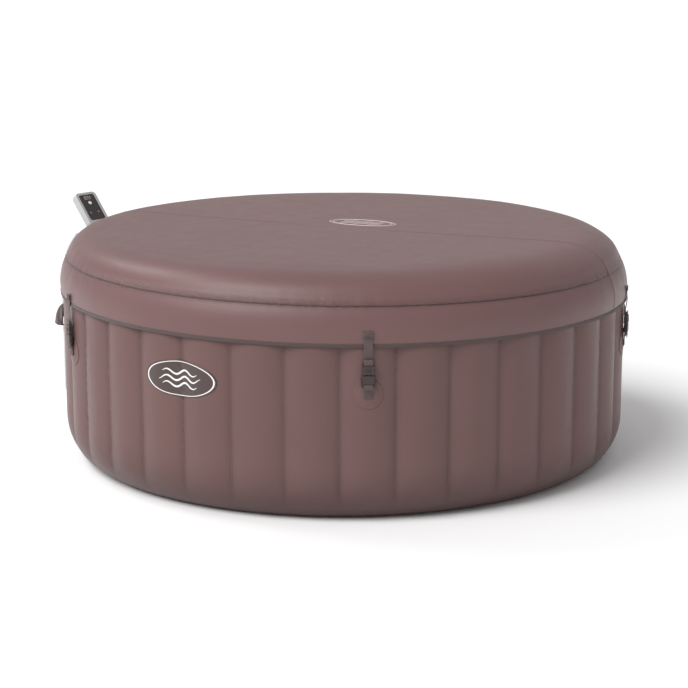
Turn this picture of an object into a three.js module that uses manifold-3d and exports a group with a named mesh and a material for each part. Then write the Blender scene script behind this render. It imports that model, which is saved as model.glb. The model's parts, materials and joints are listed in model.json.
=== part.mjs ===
// Inflatable hot tub with its padded cover and its free-standing pump and heater unit.
// Millimetres, +Z up. The origin is the middle of the tub's underside, on the ground.
// The front of the tub is at -Y. Azimuths are measured from -Y towards +X.

import * as THREE from 'three';
import { mergeVertices } from 'three/addons/utils/BufferGeometryUtils.js';
import Module from 'manifold-3d';

const wasm = await Module();
wasm.setup();

// ---------------------------------------------------------------- driving dimensions

const gap = 0.4;

// Tub wall: an air chamber between a fluted outer skin and a plain inner skin.
const tubRadius = 972;
const tubHeight = 660;
const chamberWidth = 222;
const skin = 2;
const ribCount = 35;
const ribDepth = 13;
const topRollDrop = 110;
const bottomRollRise = 160;
const floorThickness = 4;
const webThickness = 1.6;
const stepsPerRib = 2;

// Cover.
const coverClearance = 6;
const skirtDepth = 100;
const hemTuckIn = 2;
const rimSeamInset = 23;
const rimSeamLift = 22;
const crestRadius = tubRadius * 0.87;
const crestLift = 118;
const dishDepth = 4;

// Straps and side-release buckles.
const strapCount = 5;
const webbingWidth = 28;
const webbingThickness = 2;
const socketWidth = 40;
const socketHeight = 27;
const buckleThickness = 14;
const buckleWall = 2.5;
const plugWidth = 46;
const plugHeight = 38;
const plugThickness = 7;
const prongLength = 24;
const prongClearance = 0.6;
const barHeight = 4;
const barThickness = 5;
const slotHeight = 6;
const patchRadius = 47;
const socketTopBelowHem = 44;

// Carry handles and badge.
const handleRib = 9;
const handleHeight = 449;
const handleHalfWidth = 80;
const handleReach = 33;
const handleRise = 60;
const handleWall = 5;
const badgeWidth = 270;
const badgeHeight = 115;
const badgeRib = -3.5;
const badgeCentre = 430;

// Fittings through the wall.
const pumpRib = -13;
const outletHeight = 190;
const intakeHeight = 330;
const airHeight = 470;
const waterBore = 22;
const airBore = 9;
const fittingWall = 5;
const flangeOver = 20;
const flangeThickness = 6;
const filterRadius = 59;
const filterLength = 80;
const airValveRib = 15;
const airValveHeight = 300;
const drainRib = 17;
const drainHeight = 80;
const drainBore = 12;
const capDepth = 18;

// Bubble ring on the floor.
const bubbleTube = 16;
const bubbleInset = 28;
const feedHoseRadius = 9;

// Pump and heater unit.
const pumpGap = 93;
const pumpDepth = 300;
const pumpWidth = 270;
const pumpCorner = 118;
const pumpSplit = 260;
const pumpHeight = 622;
const pumpWall = 4;
const domeRise = 250;

// Control panel, leaning back from upright.
const panelWidth = 103;
const panelLength = 142;
const panelThickness = 30;
const panelLean = 38;
const panelRise = 34;
const faceWidth = 77;
const faceLength = 112;
const faceThickness = 3;
const buttonRadius = 7;
const buttonFromTop = 48;
const buttonTravel = 1.5;
const neckRadius = 38;
const neckHeight = 9;

// Works inside the pump unit.
const voluteRadius = 54;
const voluteDepth = 44;
const impellerRadius = 42;
const motorRadius = 43;
const motorLength = 120;
const heaterRadius = 26;
const heaterLength = 200;
const blowerRadius = 72;
const blowerHeight = 66;
const fanRadius = 58;
const shaftRadius = 5;
const boardWidth = 110;
const boardHeight = 120;
const boardThickness = 1.6;

// ---------------------------------------------------------------- sizes worked out from them

const ribPitch = 360 / ribCount;
const wallSegments = ribCount * stepsPerRib;
const smoothSegments = ribCount * 2;
const innerRadius = tubRadius - chamberWidth;
const seamRadius = tubRadius - chamberWidth / 2;
const wallTopZ = tubHeight - topRollDrop;
const hemZ = tubHeight - skirtDepth;
const skirtRadius = tubRadius + coverClearance + skin;
const socketTopZ = hemZ - socketTopBelowHem;
const socketBottomZ = socketTopZ - slotHeight - barHeight - socketHeight;
const plugTopZ = socketBottomZ - 2;
const plugBottomZ = plugTopZ - plugHeight;
const buckleMiddleR = tubRadius + 3 + buckleThickness / 2;
const pumpAzimuth = pumpRib * ribPitch;
const pumpFrontR = tubRadius + pumpGap;
const pumpMiddleR = pumpFrontR + pumpDepth / 2;
const panelFootR = pumpMiddleR - 5;

// ---------------------------------------------------------------- materials

function material(name, color, roughness, metalness = 0) {
  return new THREE.MeshStandardMaterial({ name, color, roughness, metalness });
}

const wallVinyl = material('wall_vinyl', 0x8a6f6d, 0.55);
const coverCloth = material('cover_cloth', 0x8c7473, 0.65);
const foil = material('foil_liner', 0xb9bcbe, 0.35, 0.4);
const bladderFilm = material('bladder_film', 0xd8d8d2, 0.4);
const webbing = material('webbing', 0x6b5a57, 0.85);
const buckleNylon = material('buckle_nylon', 0x3c302f, 0.45);
const badgeVinyl = material('badge_vinyl', 0x5a4644, 0.4);
const handleRubber = material('handle_vinyl', 0x7d6361, 0.5);
const lightPlastic = material('light_grey_plastic', 0xd0d0d0, 0.4);
const darkFace = material('panel_gloss', 0x443231, 0.2);
const whitePlastic = material('white_plastic', 0xe8e8e6, 0.4);
const pipePlastic = material('pipe_plastic', 0xb4b4b2, 0.45);
const filterPaper = material('filter_paper', 0xe4e2da, 0.9);
const steel = material('steel', 0xa8abae, 0.3, 0.9);
const boardGreen = material('circuit_board', 0x2f5b40, 0.5);

// ---------------------------------------------------------------- solids

const model = new THREE.Group();

function radians(degrees) {
  return THREE.MathUtils.degToRad(degrees);
}

// Merges shared vertices, drops collapsed triangles and turns the faces outwards.
function tidy(geometry) {
  const bare = new THREE.BufferGeometry();
  bare.setAttribute('position', geometry.getAttribute('position').clone());
  if (geometry.index) bare.setIndex(geometry.index.clone());
  const merged = mergeVertices(bare, 1e-3);
  const point = merged.getAttribute('position');
  const faces = [];
  let volume = 0;
  const [a, b, c] = [new THREE.Vector3(), new THREE.Vector3(), new THREE.Vector3()];
  for (let i = 0; i < merged.index.count; i += 3) {
    const face = [merged.index.getX(i), merged.index.getX(i + 1), merged.index.getX(i + 2)];
    if (new Set(face).size < 3) continue;
    faces.push(face);
    a.fromBufferAttribute(point, face[0]);
    b.fromBufferAttribute(point, face[1]);
    c.fromBufferAttribute(point, face[2]);
    volume += a.dot(b.cross(c));
  }
  if (volume < 0) faces.forEach((face) => face.reverse());
  merged.setIndex(faces.flat());
  return merged;
}

function toSolid(geometry) {
  const merged = tidy(geometry);
  const vertProperties = new Float32Array(merged.getAttribute('position').array);
  const triVerts = new Uint32Array(merged.index.array);
  return new wasm.Manifold(new wasm.Mesh({ numProp: 3, vertProperties, triVerts }));
}

function fromSolid(manifold) {
  const mesh = manifold.getMesh();
  const geometry = new THREE.BufferGeometry();
  geometry.setAttribute('position', new THREE.BufferAttribute(mesh.vertProperties, 3));
  geometry.setIndex(new THREE.BufferAttribute(mesh.triVerts, 1));
  return geometry;
}

function join(...geometries) {
  return fromSolid(geometries.map(toSolid).reduce((sum, next) => sum.add(next)));
}

function cut(base, ...tools) {
  return fromSolid(tools.map(toSolid).reduce((left, tool) => left.subtract(tool), toSolid(base)));
}

function common(first, second) {
  return fromSolid(toSolid(first).intersect(toSolid(second)));
}

// A profile of [radius, height] points turned about Z.
function turned(profile, segments) {
  const points = profile.map(([radius, height]) => new THREE.Vector2(radius, height));
  return tidy(new THREE.LatheGeometry(points, segments).rotateX(Math.PI / 2));
}

function closed(profile) {
  return [...profile, profile[0]];
}

// Two skins turned about Z. Their quads are split along the same diagonals, so flutes pressed
// into both of them never make the skins cross.
function twoSkins(outside, inside, segments) {
  const profile = closed([...outside, ...inside]);
  const points = profile.map(([radius, height]) => new THREE.Vector2(radius, height));
  const lathe = new THREE.LatheGeometry(points, segments);
  const corners = lathe.index.array;
  for (let quad = 0; quad * 6 < corners.length; quad += 1) {
    const row = quad % (points.length - 1);
    if (row < outside.length) continue;
    const [a, b, d, c] = corners.slice(quad * 6, quad * 6 + 4);
    corners.set([a, b, c, a, c, d], quad * 6);
  }
  return tidy(lathe.rotateX(Math.PI / 2));
}

// Box from lowest to highest corner. Local frames have -Y pointing away from the tub's axis.
function box(low, high) {
  const size = high.map((value, i) => value - low[i]);
  const middle = high.map((value, i) => (value + low[i]) / 2);
  return new THREE.BoxGeometry(...size).translate(...middle);
}

// Round bar along Y from radius nearR to farR (distances from the tub's axis), at x and z.
function rod(radius, nearR, farR, z, x = 0, sides = 16) {
  const length = farR - nearR;
  return new THREE.CylinderGeometry(radius, radius, length, sides).translate(x, 0, 0)
    .translate(0, -(nearR + farR) / 2, z);
}

// Upright round bar.
function post(radius, lowZ, highZ, x, y, sides = 20) {
  return new THREE.CylinderGeometry(radius, radius, highZ - lowZ, sides).rotateX(Math.PI / 2)
    .translate(x, y, (lowZ + highZ) / 2);
}

// Outline of [x, z] points given a thickness along Y between two distances from the axis.
function plate(shape, nearR, farR) {
  const options = { depth: farR - nearR, bevelEnabled: false, curveSegments: 4 };
  return new THREE.ExtrudeGeometry(shape, options).rotateX(Math.PI / 2).translate(0, -nearR, 0);
}

// Outline of [radius, z] points given a width along X.
function sideways(points, width) {
  const shape = new THREE.Shape(points.map(([radius, z]) => new THREE.Vector2(radius, z)));
  const solid = new THREE.ExtrudeGeometry(shape, { depth: width, bevelEnabled: false });
  solid.rotateX(Math.PI / 2).rotateZ(-Math.PI / 2);
  return solid.translate(width / 2, 0, 0);
}

function roundedRectangle(width, depth, corner) {
  const [w, d] = [width / 2, depth / 2];
  const shape = new THREE.Shape();
  shape.moveTo(-w + corner, -d);
  shape.lineTo(w - corner, -d);
  shape.absarc(w - corner, -d + corner, corner, -Math.PI / 2, 0);
  shape.absarc(w - corner, d - corner, corner, 0, Math.PI / 2);
  shape.absarc(-w + corner, d - corner, corner, Math.PI / 2, Math.PI);
  shape.absarc(-w + corner, -d + corner, corner, Math.PI, 1.5 * Math.PI);
  return shape;
}

// Stack of [z, width, depth, corner] rounded rectangles joined by straight walls, capped.
function stacked(levels, middleR) {
  const corners = 4;
  const rings = levels.map(([z, width, depth, corner]) => {
    const outline = [];
    const [w, d] = [width / 2 - corner, depth / 2 - corner];
    [[w, -d, -90], [w, d, 0], [-w, d, 90], [-w, -d, 180]].forEach(([x, y, start]) => {
      for (let i = 0; i <= corners; i += 1) {
        const turn = radians(start + (90 * i) / corners);
        outline.push([x + corner * Math.cos(turn), y + corner * Math.sin(turn) - middleR, z]);
      }
    });
    return outline;
  });
  const count = rings[0].length;
  const positions = rings.flat(2);
  const lowCentre = rings.length * count;
  positions.push(0, -middleR, levels[0][0]);
  positions.push(0, -middleR, levels[levels.length - 1][0]);
  const faces = [];
  for (let i = 0; i < count; i += 1) {
    const next = (i + 1) % count;
    for (let level = 0; level + 1 < rings.length; level += 1) {
      const [low, high] = [level * count, (level + 1) * count];
      faces.push(low + i, low + next, high + next, low + i, high + next, high + i);
    }
    const top = (rings.length - 1) * count;
    faces.push(lowCentre, next, i, lowCentre + 1, top + i, top + next);
  }
  const geometry = new THREE.BufferGeometry();
  geometry.setAttribute('position', new THREE.Float32BufferAttribute(positions, 3));
  geometry.setIndex(faces);
  return geometry;
}

function addMesh(name, geometry, finish, parent = model) {
  const mesh = new THREE.Mesh(tidy(geometry), finish);
  mesh.name = name;
  parent.add(mesh);
  return mesh;
}

// A group whose -Y axis points outwards at an azimuth in degrees.
function station(azimuth) {
  const group = new THREE.Group();
  group.rotation.z = radians(azimuth);
  model.add(group);
  return group;
}

function turnedTo(azimuth, geometry) {
  return geometry.rotateZ(radians(azimuth));
}

// ---------------------------------------------------------------- tub

// Quarter of an ellipse from start to end angle, measured from the upright.
function roll(middleR, middleZ, reach, rise, angles) {
  return angles.map((angle) => [
    middleR + reach * Math.sin(radians(angle)),
    middleZ + rise * Math.cos(radians(angle)),
  ]);
}

// How deep the flutes are at a height: full on the wall, fading out on both rolls.
function fluteFade(z) {
  const low = THREE.MathUtils.smoothstep(z, 20, bottomRollRise);
  const high = THREE.MathUtils.smoothstep(z, wallTopZ, tubHeight - 20);
  return low * (1 - high);
}

function flute(geometry) {
  const point = geometry.getAttribute('position');
  for (let i = 0; i < point.count; i += 1) {
    const [x, y, z] = [point.getX(i), point.getY(i), point.getZ(i)];
    const azimuth = THREE.MathUtils.radToDeg(Math.atan2(x, -y));
    const across = azimuth / ribPitch - Math.round(azimuth / ribPitch);
    const depth = ribDepth * fluteFade(z) * (2 * across) ** 2;
    const share = 1 - depth / Math.hypot(x, y);
    point.setXYZ(i, x * share, y * share, z);
  }
  return geometry;
}

function wallHoles(bores, nearR, farR) {
  return bores.map(([rib, z, radius]) => turnedTo(rib * ribPitch, rod(radius, nearR, farR, z)));
}

const throughBores = [
  [pumpRib, outletHeight, waterBore + fittingWall + gap],
  [pumpRib, intakeHeight, waterBore + fittingWall + gap],
  [drainRib, drainHeight, drainBore + fittingWall + gap],
];
const outerBores = [
  [pumpRib, airHeight, airBore + fittingWall + gap],
  [airValveRib, airValveHeight, drainBore + fittingWall + gap],
];

function makeOuterWall() {
  const halfWidth = chamberWidth / 2;
  const angles = [30, 60, 90];
  const shape = (inset) => [
    ...roll(seamRadius, bottomRollRise, halfWidth - inset, inset - bottomRollRise, angles),
    ...roll(seamRadius, wallTopZ, halfWidth - inset, topRollDrop - inset, [90, 60, 30]),
  ];
  const foot = seamRadius - skin;
  const top = seamRadius + gap / 2;
  const outside = [[foot, 0], ...shape(0), [top, tubHeight]];
  const inside = [[top, tubHeight - skin], ...shape(skin).reverse(), [foot, skin]];
  const shell = flute(twoSkins(outside, inside, wallSegments));
  const holes = wallHoles([...throughBores, ...outerBores], seamRadius, tubRadius + 40);
  return cut(shell, ...holes);
}

function makeInnerWall() {
  const halfWidth = chamberWidth / 2;
  const foot = floorThickness + gap;
  const rise = (inset) => roll(seamRadius, wallTopZ, inset - halfWidth, topRollDrop - inset, [90, 60, 30]);
  const top = seamRadius - gap / 2;
  const facingWater = [[innerRadius, foot], ...rise(0), [top, tubHeight]];
  const facingAir = [[top, tubHeight - skin], ...rise(skin).reverse(), [innerRadius + skin, foot]];
  const shell = turned(closed([...facingWater, ...facingAir]), smoothSegments);
  const feed = turnedTo(pumpAzimuth, rod(feedHoseRadius + gap, innerRadius - 40, seamRadius, feedHoseZ, feedHoseX));
  return cut(shell, feed, ...wallHoles(throughBores, innerRadius - 40, seamRadius));
}

// Upright webs behind every groove hold the two skins at one width. A hoop ties them.
function makeWebs() {
  const nearR = innerRadius + skin + 1;
  const farR = tubRadius - ribDepth - skin - 1.5;
  const hoopR = innerRadius + 50;
  const [lowZ, highZ] = [bottomRollRise + 5, wallTopZ - 5];
  const middle = (intakeHeight + airHeight) / 2;
  const hoop = turned(closed([[hoopR, middle - 12], [hoopR + 2, middle - 12], [hoopR + 2, middle + 12],
    [hoopR, middle + 12]]), ribCount);
  const webs = [];
  for (let i = 0; i < ribCount; i += 1) {
    const web = box([-webThickness / 2, -farR, lowZ], [webThickness / 2, -nearR, highZ]);
    webs.push(turnedTo((i + 0.5) * ribPitch, web));
  }
  return join(hoop, ...webs);
}

const feedHoseX = 52;
const feedHoseZ = floorThickness + 2 * gap + bubbleTube + 4;
const bubbleRingR = innerRadius - bubbleInset;

function makeFeedHose() {
  const [topR, dropR] = [tubRadius - 60, seamRadius + 8];
  const path = new THREE.CatmullRomCurve3([
    new THREE.Vector3(0, -topR, airHeight),
    new THREE.Vector3(feedHoseX * 0.4, -dropR - 12, airHeight - 6),
    new THREE.Vector3(feedHoseX, -dropR, airHeight - 60),
    new THREE.Vector3(feedHoseX, -dropR, feedHoseZ + 60),
    new THREE.Vector3(feedHoseX, -dropR + 30, feedHoseZ + 5),
    new THREE.Vector3(feedHoseX, -innerRadius - 30, feedHoseZ),
    new THREE.Vector3(feedHoseX, -bubbleRingR - bubbleTube - 4, feedHoseZ),
  ], false, 'catmullrom', 0.3);
  const section = new THREE.Shape().absarc(0, 0, feedHoseRadius, 0, 2 * Math.PI);
  const options = { extrudePath: path, steps: 18, curveSegments: 4, bevelEnabled: false };
  return new THREE.ExtrudeGeometry(section, options);
}

function makeTub() {
  addMesh('outer_wall', makeOuterWall(), wallVinyl);
  addMesh('inner_wall', makeInnerWall(), wallVinyl);
  addMesh('i_beam_webs', makeWebs(), wallVinyl);
  const sheetR = seamRadius - skin - 1;
  const sheet = turned([[0, 0], [sheetR, 0], [sheetR, floorThickness], [0, floorThickness]], ribCount);
  addMesh('floor_sheet', sheet, wallVinyl);
  const ring = new THREE.TorusGeometry(bubbleRingR, bubbleTube, 6, ribCount);
  addMesh('bubble_ring', ring.translate(0, 0, floorThickness + gap + bubbleTube), wallVinyl);
  addMesh('air_feed_hose', makeFeedHose(), pipePlastic, station(pumpAzimuth));
}

// ---------------------------------------------------------------- cover

function coverLine(inset) {
  const rimR = skirtRadius - rimSeamInset - inset;
  const rimZ = tubHeight + rimSeamLift;
  const crestZ = tubHeight + crestLift - inset;
  const shoulder = rimR - crestRadius;
  return [
    [0, crestZ - dishDepth],
    [crestRadius * 0.55, crestZ - dishDepth * 0.78],
    [crestRadius * 0.9, crestZ - 2],
    [crestRadius, crestZ],
    [crestRadius + shoulder * 0.48, crestZ - (crestZ - rimZ) * 0.13],
    [crestRadius + shoulder * 0.83, crestZ - (crestZ - rimZ) * 0.5],
    [rimR, rimZ],
    [skirtRadius - 2 - inset, hemZ + skirtDepth * 0.52],
    [skirtRadius - inset, hemZ + skirtDepth * 0.38],
    [skirtRadius - hemTuckIn - inset, hemZ],
  ];
}

function makeBladder() {
  const baseZ = tubHeight + gap + skin + 2 * gap;
  const edgeR = skirtRadius - rimSeamInset - 52;
  const topZ = tubHeight + crestLift - skin - 5;
  const line = (inset) => [
    [12, baseZ + inset],
    [edgeR - 45, baseZ + inset],
    [edgeR - inset, baseZ + 27],
    [edgeR - 5 - inset, topZ - 45],
    [edgeR - 58, topZ - 12 - inset],
    [crestRadius - 60, topZ - inset],
    [crestRadius * 0.55, topZ - dishDepth * 0.78 - inset],
    [0, topZ - dishDepth - inset],
  ];
  return turned([...line(0).reverse(), ...line(skin)], ribCount);
}

function makeCover() {
  const shell = turned([...coverLine(0), ...coverLine(skin).reverse()], ribCount);
  addMesh('cover_shell', shell, coverCloth);
  const linerR = skirtRadius - rimSeamInset - 14;
  const linerZ = tubHeight + gap;
  const liner = [[0, linerZ], [linerR, linerZ], [linerR, linerZ + skin], [0, linerZ + skin]];
  addMesh('cover_liner', turned(liner, ribCount), foil);
  addMesh('lid_bladder', makeBladder(), bladderFilm);
}

// ---------------------------------------------------------------- straps and buckles

// Webbing that comes down behind a bar, turns under it and ends in front of it.
function hookedWebbing(endR, endZ, barZ, direction) {
  const half = barThickness / 2 + 1;
  const nearR = buckleMiddleR - half - webbingThickness;
  const farR = buckleMiddleR + half + webbingThickness;
  const turnZ = barZ - direction * (barHeight / 2 + 1);
  const outZ = turnZ - direction * webbingThickness;
  const backZ = barZ + direction * 10;
  const kneeZ = barZ + direction * 22;
  return sideways([
    [endR, endZ],
    [endR + webbingThickness, endZ],
    [endR + webbingThickness, kneeZ + direction * 14],
    [nearR + webbingThickness, kneeZ],
    [nearR + webbingThickness, turnZ],
    [farR - webbingThickness, turnZ],
    [farR - webbingThickness, backZ],
    [farR, backZ],
    [farR, outZ],
    [nearR, outZ],
    [nearR, kneeZ],
    [endR, kneeZ + direction * 14],
  ], webbingWidth);
}

function ladder(lowZ, highZ, width, barZ) {
  const half = width / 2;
  const nearR = buckleMiddleR - barThickness / 2 - 1.2;
  const farR = buckleMiddleR + barThickness / 2 + 1.2;
  const side = (x) => box([Math.min(x, x * 0.84), -farR, lowZ], [Math.max(x, x * 0.84), -nearR, highZ]);
  const bar = box([-half * 0.9, -buckleMiddleR - barThickness / 2, barZ - barHeight / 2],
    [half * 0.9, -buckleMiddleR + barThickness / 2, barZ + barHeight / 2]);
  return [side(half), side(-half), bar];
}

function makeSocket() {
  const half = socketWidth / 2;
  const topZ = socketBottomZ + socketHeight;
  const depth = buckleThickness / 2;
  const body = box([-half, -buckleMiddleR - depth, socketBottomZ], [half, -buckleMiddleR + depth, topZ]);
  const hollow = box([-half + buckleWall, -buckleMiddleR - depth + buckleWall, socketBottomZ - 5],
    [half - buckleWall, -buckleMiddleR + depth - buckleWall, topZ - buckleWall]);
  const windows = box([-half - 5, -buckleMiddleR - plugThickness / 2, topZ - 18],
    [half + 5, -buckleMiddleR + plugThickness / 2, topZ - 8]);
  const barZ = socketTopZ - barHeight / 2;
  return join(cut(body, hollow, windows), ...ladder(topZ - 2, socketTopZ, socketWidth, barZ));
}

function makePlug() {
  const half = plugWidth / 2;
  const slotTop = plugBottomZ + barHeight + slotHeight;
  const prongTop = plugTopZ + prongLength;
  const inner = socketWidth / 2 - buckleWall - prongClearance;
  const outline = new THREE.Shape();
  outline.moveTo(-half, slotTop - 2);
  outline.lineTo(half, slotTop - 2);
  outline.lineTo(half, plugTopZ - 8);
  outline.lineTo(half - 4, plugTopZ);
  outline.lineTo(inner, plugTopZ);
  outline.lineTo(inner - 2, plugTopZ + 6);
  outline.lineTo(inner, prongTop - 10);
  outline.quadraticCurveTo(inner - 1, prongTop, inner - 7, prongTop);
  outline.lineTo(inner - 7, plugTopZ);
  outline.lineTo(2.5, plugTopZ);
  outline.lineTo(2.5, prongTop - 4);
  outline.lineTo(-2.5, prongTop - 4);
  outline.lineTo(-2.5, plugTopZ);
  outline.lineTo(-inner + 7, plugTopZ);
  outline.lineTo(-inner + 7, prongTop);
  outline.quadraticCurveTo(-inner + 1, prongTop, -inner, prongTop - 10);
  outline.lineTo(-inner + 2, plugTopZ + 6);
  outline.lineTo(-inner, plugTopZ);
  outline.lineTo(-half + 4, plugTopZ);
  outline.lineTo(-half, plugTopZ - 8);
  const blade = plate(outline, buckleMiddleR - plugThickness / 2, buckleMiddleR + plugThickness / 2);
  const grip = box([-half + 3, -buckleMiddleR - buckleThickness / 2, slotTop],
    [half - 3, -buckleMiddleR + buckleThickness / 2, plugTopZ - 1]);
  return join(blade, grip, ...ladder(plugBottomZ, slotTop, plugWidth, plugBottomZ + barHeight / 2));
}

function makeTether() {
  const patchZ = plugBottomZ - patchRadius * 0.5;
  const patchR = tubRadius + gap;
  const patch = rod(patchRadius, patchR, patchR + webbingThickness, patchZ, 0, 18);
  const boss = rod(patchRadius * 0.68, patchR, patchR + webbingThickness + 1, patchZ, 0, 18);
  const strap = hookedWebbing(patchR + webbingThickness - 0.5, patchZ - 14, plugBottomZ + barHeight / 2, -1);
  return join(patch, boss, strap);
}

function makeStraps() {
  for (let i = 1; i <= strapCount; i += 1) {
    const place = station(((i - 1) * 360) / strapCount);
    const sewnZ = hemZ + skirtDepth * 0.46;
    const strap = hookedWebbing(skirtRadius + gap, sewnZ, socketTopZ - barHeight / 2, 1);
    addMesh(`cover_strap_${i}`, strap, webbing, place);
    addMesh(`buckle_socket_${i}`, makeSocket(), buckleNylon, place);
    addMesh(`buckle_plug_${i}`, makePlug(), buckleNylon, place);
    addMesh(`buckle_tether_${i}`, makeTether(), webbing, place);
  }
}

// ---------------------------------------------------------------- handles and badge

function makeHandle() {
  const baseR = tubRadius + gap;
  const dome = (shrink) => new THREE.SphereGeometry(1, 14, 8)
    .scale(handleHalfWidth - shrink, handleReach - shrink, handleRise - shrink)
    .translate(0, -baseR, handleHeight);
  const keep = box([-handleHalfWidth, -baseR - handleReach, handleHeight],
    [handleHalfWidth, -baseR, handleHeight + handleRise]);
  const hood = cut(common(dome(0), keep), dome(handleWall));
  const flange = roundedRectangle(2 * handleHalfWidth + 16, handleRise + 14, 30);
  const backing = plate(flange, baseR, baseR + 2).translate(0, 0, handleHeight + handleRise / 2);
  return join(hood, backing);
}

function makeBadge() {
  const oval = new THREE.Shape().absellipse(0, 0, badgeWidth / 2, badgeHeight / 2, 0, 2 * Math.PI);
  const nearR = tubRadius + gap;
  const options = { depth: 2, bevelEnabled: false, curveSegments: 20 };
  return new THREE.ExtrudeGeometry(oval, options).rotateX(Math.PI / 2).translate(0, -nearR, badgeCentre);
}

function makeTrim() {
  addMesh('handle_left', makeHandle(), handleRubber, station(-handleRib * ribPitch));
  addMesh('handle_right', makeHandle(), handleRubber, station(handleRib * ribPitch));
  addMesh('wall_badge', makeBadge(), badgeVinyl, station(badgeRib * ribPitch));
}

// ---------------------------------------------------------------- wall fittings

const outerFlangeR = tubRadius + gap;
const innerFlangeR = innerRadius - 3;

// A tube through both skins with a flange on the ground side and one in the water.
function throughFitting(bore, z, outerR = outerFlangeR) {
  const tubeR = bore + fittingWall;
  const nearR = innerFlangeR - flangeThickness;
  const farR = outerR + flangeThickness;
  const tube = rod(tubeR, nearR, farR, z);
  const inside = rod(tubeR + flangeOver, nearR, innerFlangeR, z);
  const outside = rod(tubeR + flangeOver, outerR, farR, z);
  return cut(join(tube, inside, outside), rod(bore, nearR - 5, farR + 5, z));
}

// A short tube through the outer skin only.
function wallInsert(bore, z) {
  const tubeR = bore + fittingWall;
  const nearR = tubRadius - 45;
  const farR = outerFlangeR + flangeThickness;
  const body = join(rod(tubeR, nearR, farR, z), rod(tubeR + flangeOver * 0.8, outerFlangeR, farR, z));
  return cut(body, rod(bore, nearR - 5, farR + 5, z));
}

// A round cap open towards the tub.
function screwCap(radius, nearR, z, depth) {
  const shell = rod(radius, nearR, nearR + depth, z, 0, 20);
  const ridge = box([-radius * 0.8, -nearR - depth - 5, z - 3], [radius * 0.8, -nearR - depth + 1, z + 3]);
  return join(cut(shell, rod(radius - 3, nearR - 5, nearR + depth - 3, z, 0, 20)), ridge);
}

function makeScreen() {
  const farR = innerFlangeR - flangeThickness - gap;
  const nearR = farR - 8;
  const radius = waterBore + fittingWall + 6;
  const slots = [-15, -5, 5, 15].map((x) => box([x - 2.5, -farR - 5, outletHeight - 20],
    [x + 2.5, -nearR + 5, outletHeight + 20]));
  return cut(rod(radius, nearR, farR, outletHeight), ...slots);
}

function makeFilter(place) {
  const farR = innerFlangeR - flangeThickness - gap;
  const nearR = farR - filterLength;
  const z = intakeHeight;
  const cup = rod(filterRadius, nearR, farR, z, 0, 20);
  const hollow = rod(filterRadius - 3, nearR - 5, farR - 4, z, 0, 20);
  addMesh('filter_housing', cut(cup, hollow, rod(waterBore, nearR, farR + 5, z)), lightPlastic, place);
  const cartridgeR = filterRadius - 5;
  const cartridge = rod(cartridgeR, nearR + 6, farR - 5, z, 0, 20);
  addMesh('filter_cartridge', cut(cartridge, rod(waterBore, nearR, farR, z)), filterPaper, place);
  const capR = nearR - gap;
  const cap = join(rod(filterRadius + 3, capR - 6, capR, z, 0, 20),
    rod(filterRadius - 4.2, capR - 2, capR + 3, z, 0, 20),
    box([-filterRadius * 0.7, -capR + 5, z - 5], [filterRadius * 0.7, -capR + 16, z + 5]));
  addMesh('filter_cap', cap, lightPlastic, place);
}

function makeFittings() {
  const pumpSide = station(pumpAzimuth);
  addMesh('intake_fitting', throughFitting(waterBore, intakeHeight), lightPlastic, pumpSide);
  addMesh('outlet_fitting', throughFitting(waterBore, outletHeight), lightPlastic, pumpSide);
  addMesh('air_fitting', wallInsert(airBore, airHeight), lightPlastic, pumpSide);
  addMesh('outlet_screen', makeScreen(), lightPlastic, pumpSide);
  makeFilter(pumpSide);
  const valveSide = station(airValveRib * ribPitch);
  addMesh('tub_air_valve', wallInsert(drainBore, airValveHeight), pipePlastic, valveSide);
  const capR = drainBore + fittingWall + flangeOver * 0.8;
  const capNearR = outerFlangeR + flangeThickness + gap;
  addMesh('tub_valve_cap', screwCap(capR, capNearR, airValveHeight, capDepth), buckleNylon, valveSide);
  const drainSide = station(drainRib * ribPitch);
  addMesh('drain_valve', throughFitting(drainBore, drainHeight), pipePlastic, drainSide);
  addMesh('drain_cap', screwCap(capR, capNearR, drainHeight, capDepth), buckleNylon, drainSide);
}

// ---------------------------------------------------------------- pump and heater unit

function pumpLevels(inset) {
  const section = (z, share) => [z, pumpWidth * share - 2 * inset, pumpDepth * share - 2 * inset,
    pumpCorner * share - inset];
  const domeFoot = pumpHeight - domeRise;
  return {
    low: [section(0, 0.94), section(18, 1), section(pumpSplit, 1)],
    high: [section(pumpSplit, 1), section(domeFoot, 0.99), section(domeFoot + domeRise * 0.56, 0.93),
      section(domeFoot + domeRise * 0.85, 0.8), section(pumpHeight - inset, 0.62)],
  };
}

function makePumpShells(place) {
  const holes = [[outletHeight, waterBore + fittingWall], [intakeHeight, waterBore + fittingWall],
    [airHeight, airBore + fittingWall]]
    .map(([z, radius]) => rod(radius + gap, pumpFrontR - 10, pumpFrontR + 30, z));
  const outer = pumpLevels(0);
  const inner = pumpLevels(pumpWall);
  const lowHollow = [[pumpWall, ...inner.low[0].slice(1)], inner.low[1], inner.low[2]];
  lowHollow[2] = [pumpSplit + 5, ...inner.low[2].slice(1)];
  const cordHole = rod(10 + gap, pumpFrontR + pumpDepth - 30, pumpFrontR + pumpDepth + 10, 80);
  const low = cut(stacked(outer.low, pumpMiddleR), stacked(lowHollow, pumpMiddleR), ...holes, cordHole);
  addMesh('pump_lower_shell', low, lightPlastic, place);
  const lift = ([z, ...rest]) => [z + gap, ...rest];
  const highHollow = [[pumpSplit - 5, ...inner.high[0].slice(1)], ...inner.high.slice(1)];
  const high = cut(stacked([lift(outer.high[0]), ...outer.high.slice(1)], pumpMiddleR),
    stacked(highHollow, pumpMiddleR), ...holes);
  addMesh('pump_upper_shell', high, lightPlastic, place);
}

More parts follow.
